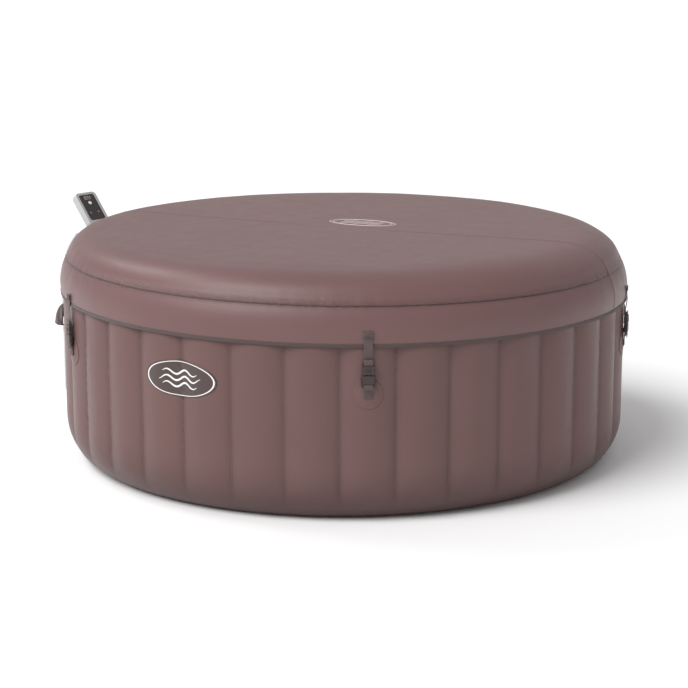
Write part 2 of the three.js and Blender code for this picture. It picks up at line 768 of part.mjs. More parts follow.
function makePipes(place) {
  const nearR = outerFlangeR + flangeThickness + gap;
  const pipe = (bore, z, farR) => {
    const collar = rod(bore + fittingWall + 9, nearR, nearR + 26, z);
    const tube = rod(bore + fittingWall, nearR, farR, z);
    return cut(join(tube, collar), rod(bore, nearR - 5, farR + 5, z));
  };
  const voluteR = pumpFrontR + 45;
  addMesh('intake_pipe', pipe(waterBore, intakeHeight, voluteR - gap), pipePlastic, place);
  addMesh('outlet_pipe', pipe(waterBore, outletHeight, voluteR - gap), pipePlastic, place);
  addMesh('air_hose', pipe(airBore, airHeight, pumpMiddleR - blowerRadius - 1), pipePlastic, place);
}

function blades(count, innerR, outerR, low, high) {
  const list = [];
  for (let i = 0; i < count; i += 1) {
    list.push(box([innerR, -1, low], [outerR, 1, high]).rotateZ((2 * Math.PI * i) / count));
  }
  return list;
}

function makeWorks(place) {
  const voluteR = pumpFrontR + 45;
  const shell = rod(voluteRadius, voluteR, voluteR + voluteDepth, intakeHeight, 0, 20);
  const chamber = rod(voluteRadius - 4, voluteR + 4, voluteR + voluteDepth - 4, intakeHeight, 0, 20);
  const mouth = rod(waterBore, voluteR - 5, voluteR + 10, intakeHeight);
  const shaftHole = rod(shaftRadius + 1, voluteR + 10, voluteR + voluteDepth + 5, intakeHeight, 0, 12);
  addMesh('pump_volute', cut(shell, chamber, mouth, shaftHole), buckleNylon, place);
  const hubR = voluteR + voluteDepth / 2;
  const wheel = join(post(impellerRadius, 4, 7, 0, 0), post(shaftRadius, 4, 30, 0, 0, 12),
    ...blades(6, 0, impellerRadius - 1, -8, 5));
  const impeller = wheel.rotateX(Math.PI / 2).translate(0, -hubR, intakeHeight);
  addMesh('impeller', impeller, whitePlastic, place);
  const motorR = voluteR + voluteDepth + gap;
  const casing = rod(motorRadius, motorR, motorR + motorLength, intakeHeight, 0, 24);
  const socket = rod(shaftRadius + 1, motorR - 5, motorR + 40, intakeHeight, 0, 12);
  addMesh('pump_motor', cut(casing, socket), steel, place);
  const heater = rod(heaterRadius, voluteR, voluteR + heaterLength, outletHeight);
  const heaterBore = rod(waterBore, voluteR - 5, voluteR + heaterLength - 4, outletHeight);
  addMesh('heater_tube', cut(heater, heaterBore), steel, place);
  makeBlower(place);
  const boardR = pumpFrontR + pumpDepth - 35;
  const board = box([-boardWidth / 2, -boardR - boardThickness, intakeHeight - boardHeight / 2],
    [boardWidth / 2, -boardR, intakeHeight + boardHeight / 2]);
  addMesh('circuit_board', board, boardGreen, place);
}

function makeBlower(place) {
  const [low, high] = [airHeight - blowerHeight / 2, airHeight + blowerHeight / 2];
  const drum = post(blowerRadius, low, high, 0, -pumpMiddleR);
  const chamber = post(blowerRadius - 4, low + 4, high - 4, 0, -pumpMiddleR);
  const eye = post(20, high - 10, high + 5, 0, -pumpMiddleR, 20);
  const outlet = rod(airBore, pumpMiddleR - blowerRadius - 5, pumpMiddleR - blowerRadius + 12, airHeight);
  addMesh('air_blower', cut(drum, chamber, eye, outlet), buckleNylon, place);
  const fan = join(post(fanRadius, -22, -19, 0, 0), post(shaftRadius, -22, 16, 0, 0, 12),
    ...blades(8, 0, fanRadius - 1, -20, 12));
  addMesh('blower_fan', fan.translate(0, -pumpMiddleR, airHeight), whitePlastic, place);
}

// The panel's own frame has its foot at the origin, its face towards +Y and its top up.
function makePanel(place) {
  const lean = (geometry) => geometry.rotateX(radians(panelLean))
    .translate(0, -panelFootR, pumpHeight + neckHeight + panelRise);
  const body = plate(roundedRectangle(panelWidth, panelLength, 16), 0, panelThickness)
    .translate(0, 0, panelLength / 2);
  const recess = plate(roundedRectangle(faceWidth + 2 * gap, faceLength + 2 * gap, 9), -5, faceThickness + gap)
    .translate(0, 0, panelLength / 2 + 4);
  const buttonZ = panelLength - buttonFromTop;
  const well = rod(buttonRadius + gap, 0, 12, buttonZ);
  addMesh('panel_housing', lean(cut(body, recess, well)), lightPlastic, place);
  const lens = plate(roundedRectangle(faceWidth, faceLength, 9), 0.5, faceThickness)
    .translate(0, 0, panelLength / 2 + 4);
  addMesh('panel_face', lean(cut(lens, rod(buttonRadius + gap, -5, 12, buttonZ))), darkFace, place);
  const button = rod(buttonRadius, -1.5, 12 - buttonTravel - 1, buttonZ);
  addMesh('power_button', lean(button), whitePlastic, place);
  const neckLow = pumpHeight + gap;
  const turntable = post(neckRadius, neckLow, pumpHeight + neckHeight, 0, -panelFootR - 12);
  const stalk = box([-22, -panelFootR - 34, pumpHeight + 2], [22, -panelFootR - 4, pumpHeight + neckHeight + 80]);
  const inFront = lean(box([-panelWidth, -panelThickness - gap, -60], [panelWidth, 80, panelLength + 80]));
  addMesh('panel_neck', cut(join(turntable, stalk), inFront), lightPlastic, place);
}

function makePump() {
  const place = station(pumpAzimuth);
  makePumpShells(place);
  makePipes(place);
  makeWorks(place);
  makePanel(place);
  const backR = pumpFrontR + pumpDepth;
  const gland = join(rod(10, backR - 16, backR + 4, 80, 0, 16), rod(16, backR + gap, backR + 14, 80, 0, 16));
  addMesh('power_gland', cut(gland, rod(5, backR - 30, backR + 30, 80, 0, 16)), buckleNylon, place);
}

makeTub();
makeCover();
makeStraps();
makeTrim();
makeFittings();
makePump();

export default model;
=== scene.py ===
import json
import math

import bmesh
import bpy
import numpy as np
from mathutils import Matrix, Vector


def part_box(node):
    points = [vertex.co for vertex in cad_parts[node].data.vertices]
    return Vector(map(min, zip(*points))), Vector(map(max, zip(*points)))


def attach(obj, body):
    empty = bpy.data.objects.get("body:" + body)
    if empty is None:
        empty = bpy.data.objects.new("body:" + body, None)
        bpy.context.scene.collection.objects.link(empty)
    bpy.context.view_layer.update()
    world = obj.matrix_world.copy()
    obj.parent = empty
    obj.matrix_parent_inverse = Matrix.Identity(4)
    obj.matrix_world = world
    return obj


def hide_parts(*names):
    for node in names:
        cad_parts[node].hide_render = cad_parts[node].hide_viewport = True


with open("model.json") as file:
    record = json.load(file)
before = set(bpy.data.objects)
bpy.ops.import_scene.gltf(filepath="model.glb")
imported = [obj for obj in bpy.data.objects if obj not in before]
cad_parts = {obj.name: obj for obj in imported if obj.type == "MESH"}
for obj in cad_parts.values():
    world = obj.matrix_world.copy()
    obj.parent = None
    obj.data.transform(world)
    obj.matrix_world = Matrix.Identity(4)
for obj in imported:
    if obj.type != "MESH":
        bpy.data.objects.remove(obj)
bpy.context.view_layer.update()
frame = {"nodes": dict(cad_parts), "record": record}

# Inflatable hot tub with its padded cover and its pump and heater unit. Metres, +Z up.
# Azimuths are measured from the front (-Y) towards +X.

# ------------------------------------------------------------------ sizes

TAU = 2 * math.pi
RIBS = 35
PITCH = TAU / RIBS
TUB_RADIUS = -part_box("outer_wall")[0][1]
TUB_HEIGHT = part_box("outer_wall")[1][2]
CHAMBER = 0.222
INNER_RADIUS = TUB_RADIUS - CHAMBER
SEAM_RADIUS = TUB_RADIUS - CHAMBER / 2
FOOT_RISE = 0.160
TOP_DROP = 0.110
WALL_TOP = TUB_HEIGHT - TOP_DROP
RIB_DEPTH = 0.0150
INNER_RIB_DEPTH = 0.006
WELD_HALF = 0.0035
FLOOR_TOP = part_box("floor_sheet")[1][2]

SKIRT_RADIUS = -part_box("cover_shell")[0][1]
HEM_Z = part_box("cover_shell")[0][2]
CREST_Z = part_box("cover_shell")[1][2]
CREST_RADIUS = 0.800
DISH = 0.004
RIM_RADIUS = SKIRT_RADIUS - 0.022
RIM_Z = TUB_HEIGHT + 0.022
COVER_THICKNESS = 0.0024
SEAM_AZIMUTH = math.radians(61)
SKIRT_TILT = 0.010

STRAPS = 5
STRAP_STEP = TAU / STRAPS
WEB_WIDTH = 0.028
WEB_THICKNESS = 0.0018
BUCKLE_R = (-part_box("buckle_socket_1")[0][1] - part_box("buckle_socket_1")[1][1]) / 2
SOCKET_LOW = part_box("buckle_socket_1")[0][2]
SOCKET_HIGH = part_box("buckle_socket_1")[1][2]
PLUG_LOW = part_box("buckle_plug_1")[0][2]
PLUG_HIGH = SOCKET_LOW - 0.002
PATCH_RADIUS = 0.047
PATCH_Z = PLUG_LOW - PATCH_RADIUS / 2

HANDLE_AZIMUTH = 9 * PITCH
HANDLE_Z = 0.449
BADGE_AZIMUTH = -3.5 * PITCH
BADGE_Z = 0.430
BADGE_HALF = (0.135, 0.0575)

PUMP_AZIMUTH = -13 * PITCH
PUMP_FRONT = TUB_RADIUS + 0.093
PUMP_DEPTH = 0.300
PUMP_WIDTH = 0.270
PUMP_MIDDLE = PUMP_FRONT + PUMP_DEPTH / 2
PUMP_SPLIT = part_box("pump_lower_shell")[1][2]
PUMP_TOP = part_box("pump_upper_shell")[1][2]
DOME_RISE = 0.250
PANEL_SIZE = (0.103, 0.142, 0.030)
PANEL_LEAN = math.radians(38)
PANEL_FOOT = (PUMP_MIDDLE - 0.005, PUMP_TOP + 0.043)
VALVE_AZIMUTH = 15 * PITCH
DRAIN_AZIMUTH = 17 * PITCH
OUTLET_Z, INTAKE_Z, AIR_Z = 0.190, 0.330, 0.470
VALVE_Z, DRAIN_Z = 0.300, 0.080

CAMERA_AZIMUTH = math.radians(-4.3)
CAMERA_ELEVATION = math.radians(12.5)
CAMERA_DISTANCE = 6.96
CAMERA_TARGET = (0.0, 0.0, 0.357)
CAMERA_LENS = 103.8
CAMERA_ROLL = math.radians(-0.1)

KEY_AZIMUTH = math.radians(-56)
KEY_ELEVATION = math.radians(46)
KEY_ANGLE = math.radians(40)
KEY_STRENGTH = 2.50
SURROUNDINGS_STRENGTH = 0.52

# ------------------------------------------------------------------ grids and meshes


def place(azimuth, across, outward, height):
    """Points across (tangential), outward (from the tub's axis) and up, turned to an azimuth."""
    across, outward, height = np.broadcast_arrays(across, outward, height)
    x = outward * np.sin(azimuth) + across * np.cos(azimuth)
    y = -outward * np.cos(azimuth) + across * np.sin(azimuth)
    return np.stack([x, y, height], axis=-1).astype(float)


def polar(radius, azimuth, height):
    """Points at a radius, azimuth and height: place() with nothing across."""
    radius, azimuth, height = np.broadcast_arrays(radius, azimuth, height)
    return np.stack([radius * np.sin(azimuth), -radius * np.cos(azimuth), height], axis=-1).astype(float)


def smoothstep(value, low, high):
    """0 below low, 1 above high, an S curve between."""
    share = np.clip((value - low) / (high - low), 0.0, 1.0)
    return share * share * (3 - 2 * share)


def waves(seed, count, low, high, *axes):
    """Sum of sine waves along the axes, seeded, between -1 and 1. Wave numbers lie between low and high."""
    rng = np.random.default_rng(seed)
    total = 0.0
    for _ in range(count):
        phase = rng.uniform(0, TAU)
        for axis in axes:
            phase = phase + axis * rng.uniform(low, high) * rng.choice([-1, 1])
        total = total + np.sin(phase)
    return total / count


def whole_waves(seed, count, low, high, azimuth, height, stretch):
    """Sine waves that close round the tub: whole numbers of waves in azimuth, tilted along height."""
    rng = np.random.default_rng(seed)
    total = 0.0
    for _ in range(count):
        turns = rng.integers(low, high)
        lean = height * rng.uniform(-stretch, stretch)
        total = total + np.sin(azimuth * turns + lean + rng.uniform(0, TAU))
    return total / count


def add_object(name, mesh, smooth=True):
    mesh.polygons.foreach_set("use_smooth", np.full(len(mesh.polygons), smooth))
    piece = bpy.data.objects.new(name, mesh)
    bpy.context.scene.collection.objects.link(piece)
    return piece


def weld(mesh, distance=1e-6):
    """Merges points that coincide, so that poles and seams close, and turns the faces outwards."""
    work = bmesh.new()
    work.from_mesh(mesh)
    bmesh.ops.remove_doubles(work, verts=work.verts, dist=distance)
    bmesh.ops.dissolve_degenerate(work, edges=work.edges, dist=distance)
    bmesh.ops.recalc_face_normals(work, faces=work.faces)
    work.to_mesh(mesh)
    work.free()


def grid_faces(rows, columns, close_rows=False, close_columns=False):
    """Corner numbers of the quads of a grid of points numbered row by row."""
    row = np.arange(rows if close_rows else rows - 1)
    column = np.arange(columns if close_columns else columns - 1)
    r0, c0 = np.meshgrid(row, column, indexing="ij")
    r1, c1 = (r0 + 1) % rows, (c0 + 1) % columns
    corners = [r0 * columns + c0, r0 * columns + c1, r1 * columns + c1, r1 * columns + c0]
    return np.stack([corner.ravel() for corner in corners], axis=-1)


def mesh_from(name, points, faces, uv=None):
    """Mesh from arrays of points and of faces with equal corner counts, with a UV pair per point."""
    mesh = bpy.data.meshes.new(name)
    corners = faces.shape[1]
    mesh.vertices.add(len(points))
    mesh.vertices.foreach_set("co", np.ascontiguousarray(points, dtype=np.float32).ravel())
    mesh.loops.add(faces.size)
    mesh.loops.foreach_set("vertex_index", faces.astype(np.int32).ravel())
    mesh.polygons.add(len(faces))
    mesh.polygons.foreach_set("loop_start", np.arange(0, faces.size, corners, dtype=np.int32))
    mesh.polygons.foreach_set("loop_total", np.full(len(faces), corners, dtype=np.int32))
    mesh.update(calc_edges=True)
    mesh.validate()
    if uv is not None:
        layer = mesh.uv_layers.new(name="UVMap")
        layer.data.foreach_set("uv", uv[faces.ravel()].astype(np.float32).ravel())
    return mesh


def surface(name, points, close_rows=False, close_columns=False, uv=None):
    """Smooth piece over a grid of points[row, column], welded where rows or columns meet."""
    rows, columns = points.shape[:2]
    faces = grid_faces(rows, columns, close_rows, close_columns)
    flat_uv = None if uv is None else uv.reshape(-1, 2)
    mesh = mesh_from(name, points.reshape(-1, 3), faces, flat_uv)
    weld(mesh)
    return add_object(name, mesh)


def join_pieces(name, pieces):
    """One object from several, each still a closed shell of its own."""
    work = bmesh.new()
    for piece in pieces:
        evaluated = piece.evaluated_get(bpy.context.evaluated_depsgraph_get())
        work.from_mesh(evaluated.to_mesh())
        evaluated.to_mesh_clear()
    mesh = bpy.data.meshes.new(name)
    work.to_mesh(mesh)
    work.free()
    for piece in pieces:
        bpy.data.objects.remove(piece)
    joined = bpy.data.objects.new(name, mesh)
    bpy.context.scene.collection.objects.link(joined)
    return joined


def thicken(piece, thickness):
    """Solidify inwards from the surface."""
    solidify = piece.modifiers.new("thickness", "SOLIDIFY")
    solidify.thickness = thickness
    solidify.offset = -1
    return piece


def soften(piece, width, segments=3):
    """Rounds the edges of a plate."""
    bevel = piece.modifiers.new("soft edges", "BEVEL")
    bevel.width = width
    bevel.segments = segments
    bevel.limit_method = "ANGLE"
    bevel.angle_limit = math.radians(35)
    bevel.harden_normals = True
    return piece


def plate(name, loops, low, high, shape, bevel=0.0, segments=3):
    """Flat plate: outline and hole loops of (across, up) points, depth low to high, placed by shape()."""
    work = bmesh.new()
    for loop in loops:
        verts = [work.verts.new((across, low, up)) for across, up in loop]
        for i, vert in enumerate(verts):
            work.edges.new((vert, verts[(i + 1) % len(verts)]))
    bmesh.ops.triangle_fill(work, edges=work.edges[:], use_beauty=True, use_dissolve=False)
    bmesh.ops.dissolve_limit(work, angle_limit=0.01, verts=work.verts[:], edges=work.edges[:])
    grown = bmesh.ops.extrude_face_region(work, geom=work.faces[:])
    moved = [item for item in grown["geom"] if isinstance(item, bmesh.types.BMVert)]
    bmesh.ops.translate(work, verts=moved, vec=(0, high - low, 0))
    bmesh.ops.recalc_face_normals(work, faces=work.faces)
    mesh = bpy.data.meshes.new(name)
    work.to_mesh(mesh)
    work.free()
    local = np.empty(len(mesh.vertices) * 3)
    mesh.vertices.foreach_get("co", local)
    local = local.reshape(-1, 3)
    mesh.vertices.foreach_set("co", shape(local[:, 0], local[:, 1], local[:, 2]).ravel())
    mesh.update()
    weld(mesh)
    piece = add_object(name, mesh)
    if bevel:
        soften(piece, bevel, segments)
    return piece


def at(azimuth):
    """Shape function that puts (across, outward, up) at an azimuth."""
    return lambda across, outward, up: place(azimuth, across, outward, up)


def rounded(width, height, corner, middle=(0.0, 0.0), steps=6):
    """Outline of a rectangle with round corners."""
    points = []
    for sx, sz, start in ((1, -1, -90), (1, 1, 0), (-1, 1, 90), (-1, -1, 180)):
        for i in range(steps + 1):
            turn = math.radians(start + 90 * i / steps)
            x = middle[0] + sx * (width / 2 - corner) + corner * math.cos(turn)
            points.append((x, middle[1] + sz * (height / 2 - corner) + corner * math.sin(turn)))
    return points


def turned(name, azimuth, height, profile, columns=48, across=0.0):
    """Surface of revolution about a line that points outwards: profile of (radius, outward) points."""
    radius, outward = np.array(profile, dtype=float).T
    angle = np.linspace(0, TAU, columns, endpoint=False)
    x = across + radius[:, None] * np.sin(angle)
    z = height + radius[:, None] * np.cos(angle)
    return surface(name, place(azimuth, x, outward[:, None], z), close_columns=True)


def band(name, path, width, thickness, azimuth, across=0.0):
    """Webbing: a flat section with round edges carried along a path of (outward, up) points."""
    path = np.array(path, dtype=float)
    step = np.gradient(path, axis=0)
    step /= np.linalg.norm(step, axis=1)[:, None]
    normal = np.stack([step[:, 1], -step[:, 0]], axis=-1)
    turn = np.linspace(0, TAU, 16, endpoint=False)
    side = np.sign(np.cos(turn)) * np.abs(np.cos(turn)) ** 0.35 * width / 2
    lift = np.sign(np.sin(turn)) * np.abs(np.sin(turn)) ** 0.6 * thickness / 2
    inset = np.ones(len(path))
    inset[[0, -1]] = 0.0
    outward = path[:, 0, None] + normal[:, 0, None] * lift * inset[:, None]
    up = path[:, 1, None] + normal[:, 1, None] * lift * inset[:, None]
    x = across + side * np.where(inset[:, None] > 0, 1.0, 0.98)
    along = np.concatenate([[0], np.cumsum(np.linalg.norm(np.diff(path, axis=0), axis=1))])
    uv = np.stack(np.broadcast_arrays(side, along[:, None]), axis=-1)
    points = place(azimuth, x, outward, up)
    return surface(name, points, close_columns=True, uv=uv)


def smooth_path(points, count=60):
    """Catmull-Rom curve through the points, at even steps."""
    points = np.array(points, dtype=float)
    padded = np.vstack([2 * points[0] - points[1], points, 2 * points[-1] - points[-2]])
    spans = len(points) - 1
    where = np.linspace(0, spans - 1e-9, count)
    k = where.astype(int)
    t = (where - k)[:, None]
    p0, p1, p2, p3 = (padded[k + i] for i in range(4))
    return 0.5 * (2 * p1 + (p2 - p0) * t + (2 * p0 - 5 * p1 + 4 * p2 - p3) * t**2
                  + (3 * p1 - p0 - 3 * p2 + p3) * t**3)


def stitches(name, middles, along, outward, length=0.0045, thickness=0.0009):
    """Row of short thread stitches: each a small spindle lying along the seam, half sunk."""
    rings = np.array([(-0.5, 0.35), (-0.3, 1.0), (0.3, 1.0), (0.5, 0.35)])
    turn = np.linspace(0, TAU, 6, endpoint=False)
    along = along / np.linalg.norm(along, axis=1)[:, None]
    outward = outward / np.linalg.norm(outward, axis=1)[:, None]
    side = np.cross(along, outward)
    reach = rings[:, 0, None] * length * np.ones(6)
    width = rings[:, 1, None] * np.cos(turn) * thickness * 0.6
    lift = rings[:, 1, None] * np.sin(turn) * thickness * 0.6
    shape = (along[:, None, None] * reach[None, :, :, None] + side[:, None, None] * width[None, :, :, None]
             + outward[:, None, None] * lift[None, :, :, None])
    points = middles[:, None, None] + shape
    count = len(middles)
    one = grid_faces(4, 6, close_columns=True)
    caps = np.array([[0, 1, 2, 3], [0, 3, 4, 5], [21, 20, 19, 18], [23, 22, 21, 18]])
    one = np.vstack([one, caps])
    faces = (one[None] + 24 * np.arange(count)[:, None, None]).reshape(-1, 4)
    mesh = mesh_from(name, points.reshape(-1, 3), faces)
    weld(mesh, 1e-7)
    return add_object(name, mesh)


# ------------------------------------------------------------------ shader helpers


class Wiring:
    """Short words for adding and joining shader nodes in one tree."""

    def __init__(self, tree):
        self.tree = tree

    def node(self, kind, **settings):
        node = self.tree.nodes.new(kind)
        for key, value in settings.items():
            setattr(node, key, value)
        return node

    def put(self, value, socket):
        if isinstance(value, bpy.types.NodeSocket):
            self.tree.links.new(value, socket)
        else:
            socket.default_value = value

    def maths(self, operation, *values, clamp=False):
        node = self.node("ShaderNodeMath", operation=operation, use_clamp=clamp)
        for value, socket in zip(values, node.inputs):
            self.put(value, socket)
        return node.outputs[0]

    def ramp(self, value, low, high, start=0.0, end=1.0):
        node = self.node("ShaderNodeMapRange", interpolation_type="SMOOTHSTEP")
        for item, socket in zip((value, low, high, start, end), node.inputs):
            self.put(item, socket)
        return node.outputs[0]

    def shade(self, colour, factor):
        """Colour times a number."""
        node = self.node("ShaderNodeVectorMath", operation="SCALE")
        self.put(colour[:3], node.inputs[0])
        self.put(factor, node.inputs["Scale"])
        return node.outputs[0]

    def noise(self, vector, scale, detail=2.0, roughness=0.5):
        node = self.node("ShaderNodeTexNoise")
        self.put(vector, node.inputs["Vector"])
        self.put(scale, node.inputs["Scale"])
        self.put(detail, node.inputs["Detail"])
        self.put(roughness, node.inputs["Roughness"])
        return node.outputs["Fac"]

    def cells(self, vector, scale, feature="F1"):
        node = self.node("ShaderNodeTexVoronoi", feature=feature)
        self.put(vector, node.inputs["Vector"])
        self.put(scale, node.inputs["Scale"])
        return node.outputs["Distance"]

    def bump(self, height, distance, strength=1.0, normal=None):
        node = self.node("ShaderNodeBump")
        self.put(height, node.inputs["Height"])
        node.inputs["Distance"].default_value = distance
        node.inputs["Strength"].default_value = strength
        if normal is not None:
            self.put(normal, node.inputs["Normal"])
        return node.outputs[0]

    def parts(self, vector):
        return self.node_with(vector, "ShaderNodeSeparateXYZ").outputs

    def node_with(self, value, kind):
        node = self.node(kind)
        self.put(value, node.inputs[0])
        return node


def new_group(name, inputs, outputs, build):
    """Shader group with named inputs (name, default) and outputs, wired by build()."""
    tree = bpy.data.node_groups.new(name, "ShaderNodeTree")
    for label, default in inputs:
        kind = "NodeSocketVector" if default is None else "NodeSocketFloat"
        socket = tree.interface.new_socket(name=label, in_out="INPUT", socket_type=kind)
        if default is not None:
            socket.default_value = default
    for label in outputs:
        tree.interface.new_socket(name=label, in_out="OUTPUT", socket_type="NodeSocketFloat")
    wiring = Wiring(tree)
    source = wiring.node("NodeGroupInput")
    sink = wiring.node("NodeGroupOutput")
    results = build(wiring, {socket.name: socket for socket in source.outputs if socket.name})
    for label, result in zip(outputs, results):
        wiring.put(result, sink.inputs[label])
    return tree


def build_grain(w, given):
    """Pebbled coated cloth: rounded cells broken up by fine noise."""
    cells = w.cells(given["Vector"], given["Scale"])
    pebble = w.ramp(cells, 0.0, 0.75, 1.0, 0.0)
    fine = w.noise(given["Vector"], w.maths("MULTIPLY", given["Scale"], 2.3), 3.0)
    height = w.maths("ADD", w.maths("MULTIPLY", pebble, 0.7), w.maths("MULTIPLY", fine, 0.5))
    return [height]


def build_mottle(w, given):
    """Slow unevenness of a finish: large soft patches with a little fine speckle."""
    large = w.noise(given["Vector"], given["Scale"], 3.0, 0.55)
    speckle = w.noise(given["Vector"], w.maths("MULTIPLY", given["Scale"], 90.0), 2.0)
    both = w.maths("ADD", w.maths("MULTIPLY", large, 0.7), w.maths("MULTIPLY", speckle, 0.3))
    centred = w.maths("SUBTRACT", both, 0.5)
    return [w.maths("MULTIPLY_ADD", centred, given["Amount"], 1.0)]


def build_welds(w, given):
    """Weld lines up the wall: how near a point is to the nearest groove, and to its two fine edges."""
    x, y, z = w.parts(given["Vector"])
    azimuth = w.maths("ARCTAN2", x, w.maths("MULTIPLY", y, -1.0))
    turns = w.maths("MULTIPLY_ADD", azimuth, RIBS / TAU, 0.5)
    share = w.maths("ABSOLUTE", w.maths("SUBTRACT", w.maths("FRACT", turns), 0.5))
    distance = w.maths("MULTIPLY", w.maths("SUBTRACT", 0.5, share), TUB_RADIUS * PITCH)
    near = w.ramp(distance, 0.0, given["Width"], 1.0, 0.0)
    edge = w.maths("ABSOLUTE", w.maths("SUBTRACT", distance, given["Half"]))
    line = w.ramp(edge, 0.0, 0.0016, 1.0, 0.0)
    height = w.maths("MULTIPLY", w.ramp(z, 0.035, 0.10), w.ramp(z, 0.66, 0.64))
    return [w.maths("MULTIPLY", near, height), w.maths("MULTIPLY", line, height)]


def build_weave(w, given):
    """Webbing: ribs across the strap that a finer twill crosses, from the strap's own UV in metres."""
    u, v, _ = w.parts(given["Vector"])
    rows = w.maths("SINE", w.maths("MULTIPLY", v, given["Rows"]))
    phase = w.maths("MULTIPLY_ADD", u, given["Columns"], w.maths("MULTIPLY", v, given["Rows"]))
    twill = w.maths("SINE", phase)
    columns = w.maths("ABSOLUTE", w.maths("SINE", w.maths("MULTIPLY", u, given["Columns"])))
    height = w.maths("ADD", w.maths("MULTIPLY", w.maths("ADD", rows, twill), 0.25),
                     w.maths("MULTIPLY", columns, 0.5))
    return [height, w.maths("MULTIPLY_ADD", height, 0.25, 0.85)]


GROUPS = {
    "grain": new_group("pebble grain", [("Vector", None), ("Scale", 400.0)], ["Height"], build_grain),
    "mottle": new_group("soft mottle", [("Vector", None), ("Scale", 3.0), ("Amount", 0.15)], ["Shade"],
                        build_mottle),
    "welds": new_group("weld lines", [("Vector", None), ("Width", 0.02), ("Half", WELD_HALF)],
                       ["Near", "Line"],
                       build_welds),
    "weave": new_group("strap weave", [("Vector", None), ("Rows", 3400.0), ("Columns", 2600.0)],
                       ["Height", "Shade"], build_weave),
}


class Finish(Wiring):
    """A material under construction: a Principled shader, object coordinates and the shared groups."""

    def __init__(self, name, roughness, metallic=0.0, **sockets):
        self.material = bpy.data.materials.new(name)
        self.material.use_nodes = True
        super().__init__(self.material.node_tree)
        self.shader = self.tree.nodes["Principled BSDF"]
        self.shader.inputs["Roughness"].default_value = roughness
        self.shader.inputs["Metallic"].default_value = metallic
        for label, value in sockets.items():
            self.shader.inputs[label.replace("_", " ")].default_value = value
        self.where = self.node("ShaderNodeTexCoord")

    @property
    def place(self):
        return self.where.outputs["Object"]

    @property
    def uv(self):
        return self.where.outputs["UV"]

    def group(self, name, vector=None, **values):
        node = self.node("ShaderNodeGroup", node_tree=GROUPS[name])
        self.put(self.place if vector is None else vector, node.inputs["Vector"])
        for label, value in values.items():
            self.put(value, node.inputs[label])
        return node.outputs

    def colour(self, value):
        self.put(value, self.shader.inputs["Base Color"])

    def roughness(self, value):
        self.put(value, self.shader.inputs["Roughness"])

    def normal(self, value):
        self.put(value, self.shader.inputs["Normal"])


def tint(red, green, blue):
    """Linear colour from ordinary 0-255 screen values."""
    return tuple(((value / 255) ** 2.2) for value in (red, green, blue)) + (1.0,)


# ------------------------------------------------------------------ materials


def wall_finish():
    """Embossed vinyl: fine leather grain, darker weld lines, a slow unevenness, painted shade towards the floor."""
    f = Finish("wall vinyl", 0.5, Specular_IOR_Level=0.28, Coat_Weight=0.04, Coat_Roughness=0.35)
    near, line = f.group("welds", Width=0.024)
    shade = f.group("mottle", Scale=2.2, Amount=0.22)[0]
    shade = f.maths("MULTIPLY", shade, f.maths("MULTIPLY_ADD", near, -0.10, 1.0))
    shade = f.maths("MULTIPLY", shade, f.maths("MULTIPLY_ADD", line, -0.22, 1.0))
    # Painted shade: the colour falls towards half near the floor, because the round foot gets no light from beneath.
    height = f.parts(f.place)[2]
    shade = f.maths("MULTIPLY", shade, f.ramp(height, -0.03, 0.20, 0.5, 1.0))
    f.colour(f.shade(tint(106, 81, 79), shade))
    grain = f.group("grain", Scale=520.0)[0]
    f.roughness(f.maths("MULTIPLY_ADD", f.noise(f.place, 30.0, 3.0), 0.12, 0.36))
    seam = f.bump(line, 0.0012, 0.6)
    f.normal(f.bump(grain, 0.0005, 0.55, seam))
    return f.material


def cover_finish():
    """Coated cloth: larger pebble grain, painted shade along the seam valleys and the gathers above the rim seam."""
    f = Finish("cover cloth", 0.52, Specular_IOR_Level=0.38, Coat_Weight=0.06, Coat_Roughness=0.4)
    x, y, z = f.parts(f.place)
    rim = f.maths("ABSOLUTE", f.maths("SUBTRACT", z, rim_height_node(f, x)))
    rim = f.maths("MULTIPLY", f.ramp(rim, 0.0, 0.0028, 1.0, 0.0), f.ramp(radius_node(f, x, y), 0.93, 0.94))
    side = f.maths("ADD", f.maths("MULTIPLY", x, math.cos(SEAM_AZIMUTH)),
                   f.maths("MULTIPLY", y, math.sin(SEAM_AZIMUTH)))
    middle = f.ramp(f.maths("ABSOLUTE", side), 0.0, 0.0032, 1.0, 0.0)
    lines = f.maths("MAXIMUM", rim, f.maths("MULTIPLY", middle, 0.25))
    crease = f.maths("MULTIPLY", seam_creases(f, x, y, z), f.ramp(radius_node(f, x, y), 0.90, 0.93))
    shade = f.group("mottle", Scale=2.6, Amount=0.16)[0]
    # Painted shade: a dark line along the rim seam and, fainter, along the middle seam, where the cloth dips into
    # the seam.
    shade = f.maths("MULTIPLY", shade, f.maths("MULTIPLY_ADD", lines, -0.5, 1.0))
    # Painted shade: the colour darkens along the gathers above the rim seam, as shadow in their folds.
    shade = f.maths("MULTIPLY", shade, f.maths("MULTIPLY_ADD", crease, -0.25, 1.0))
    f.colour(f.shade(tint(109, 82, 81), shade))
    grain = f.group("grain", Scale=430.0)[0]
    f.roughness(f.maths("MULTIPLY_ADD", f.noise(f.place, 24.0, 3.0), 0.12, 0.34))
    f.normal(f.bump(grain, 0.0006, 0.5, f.bump(crease, 0.0060, 1.0)))
    return f.material


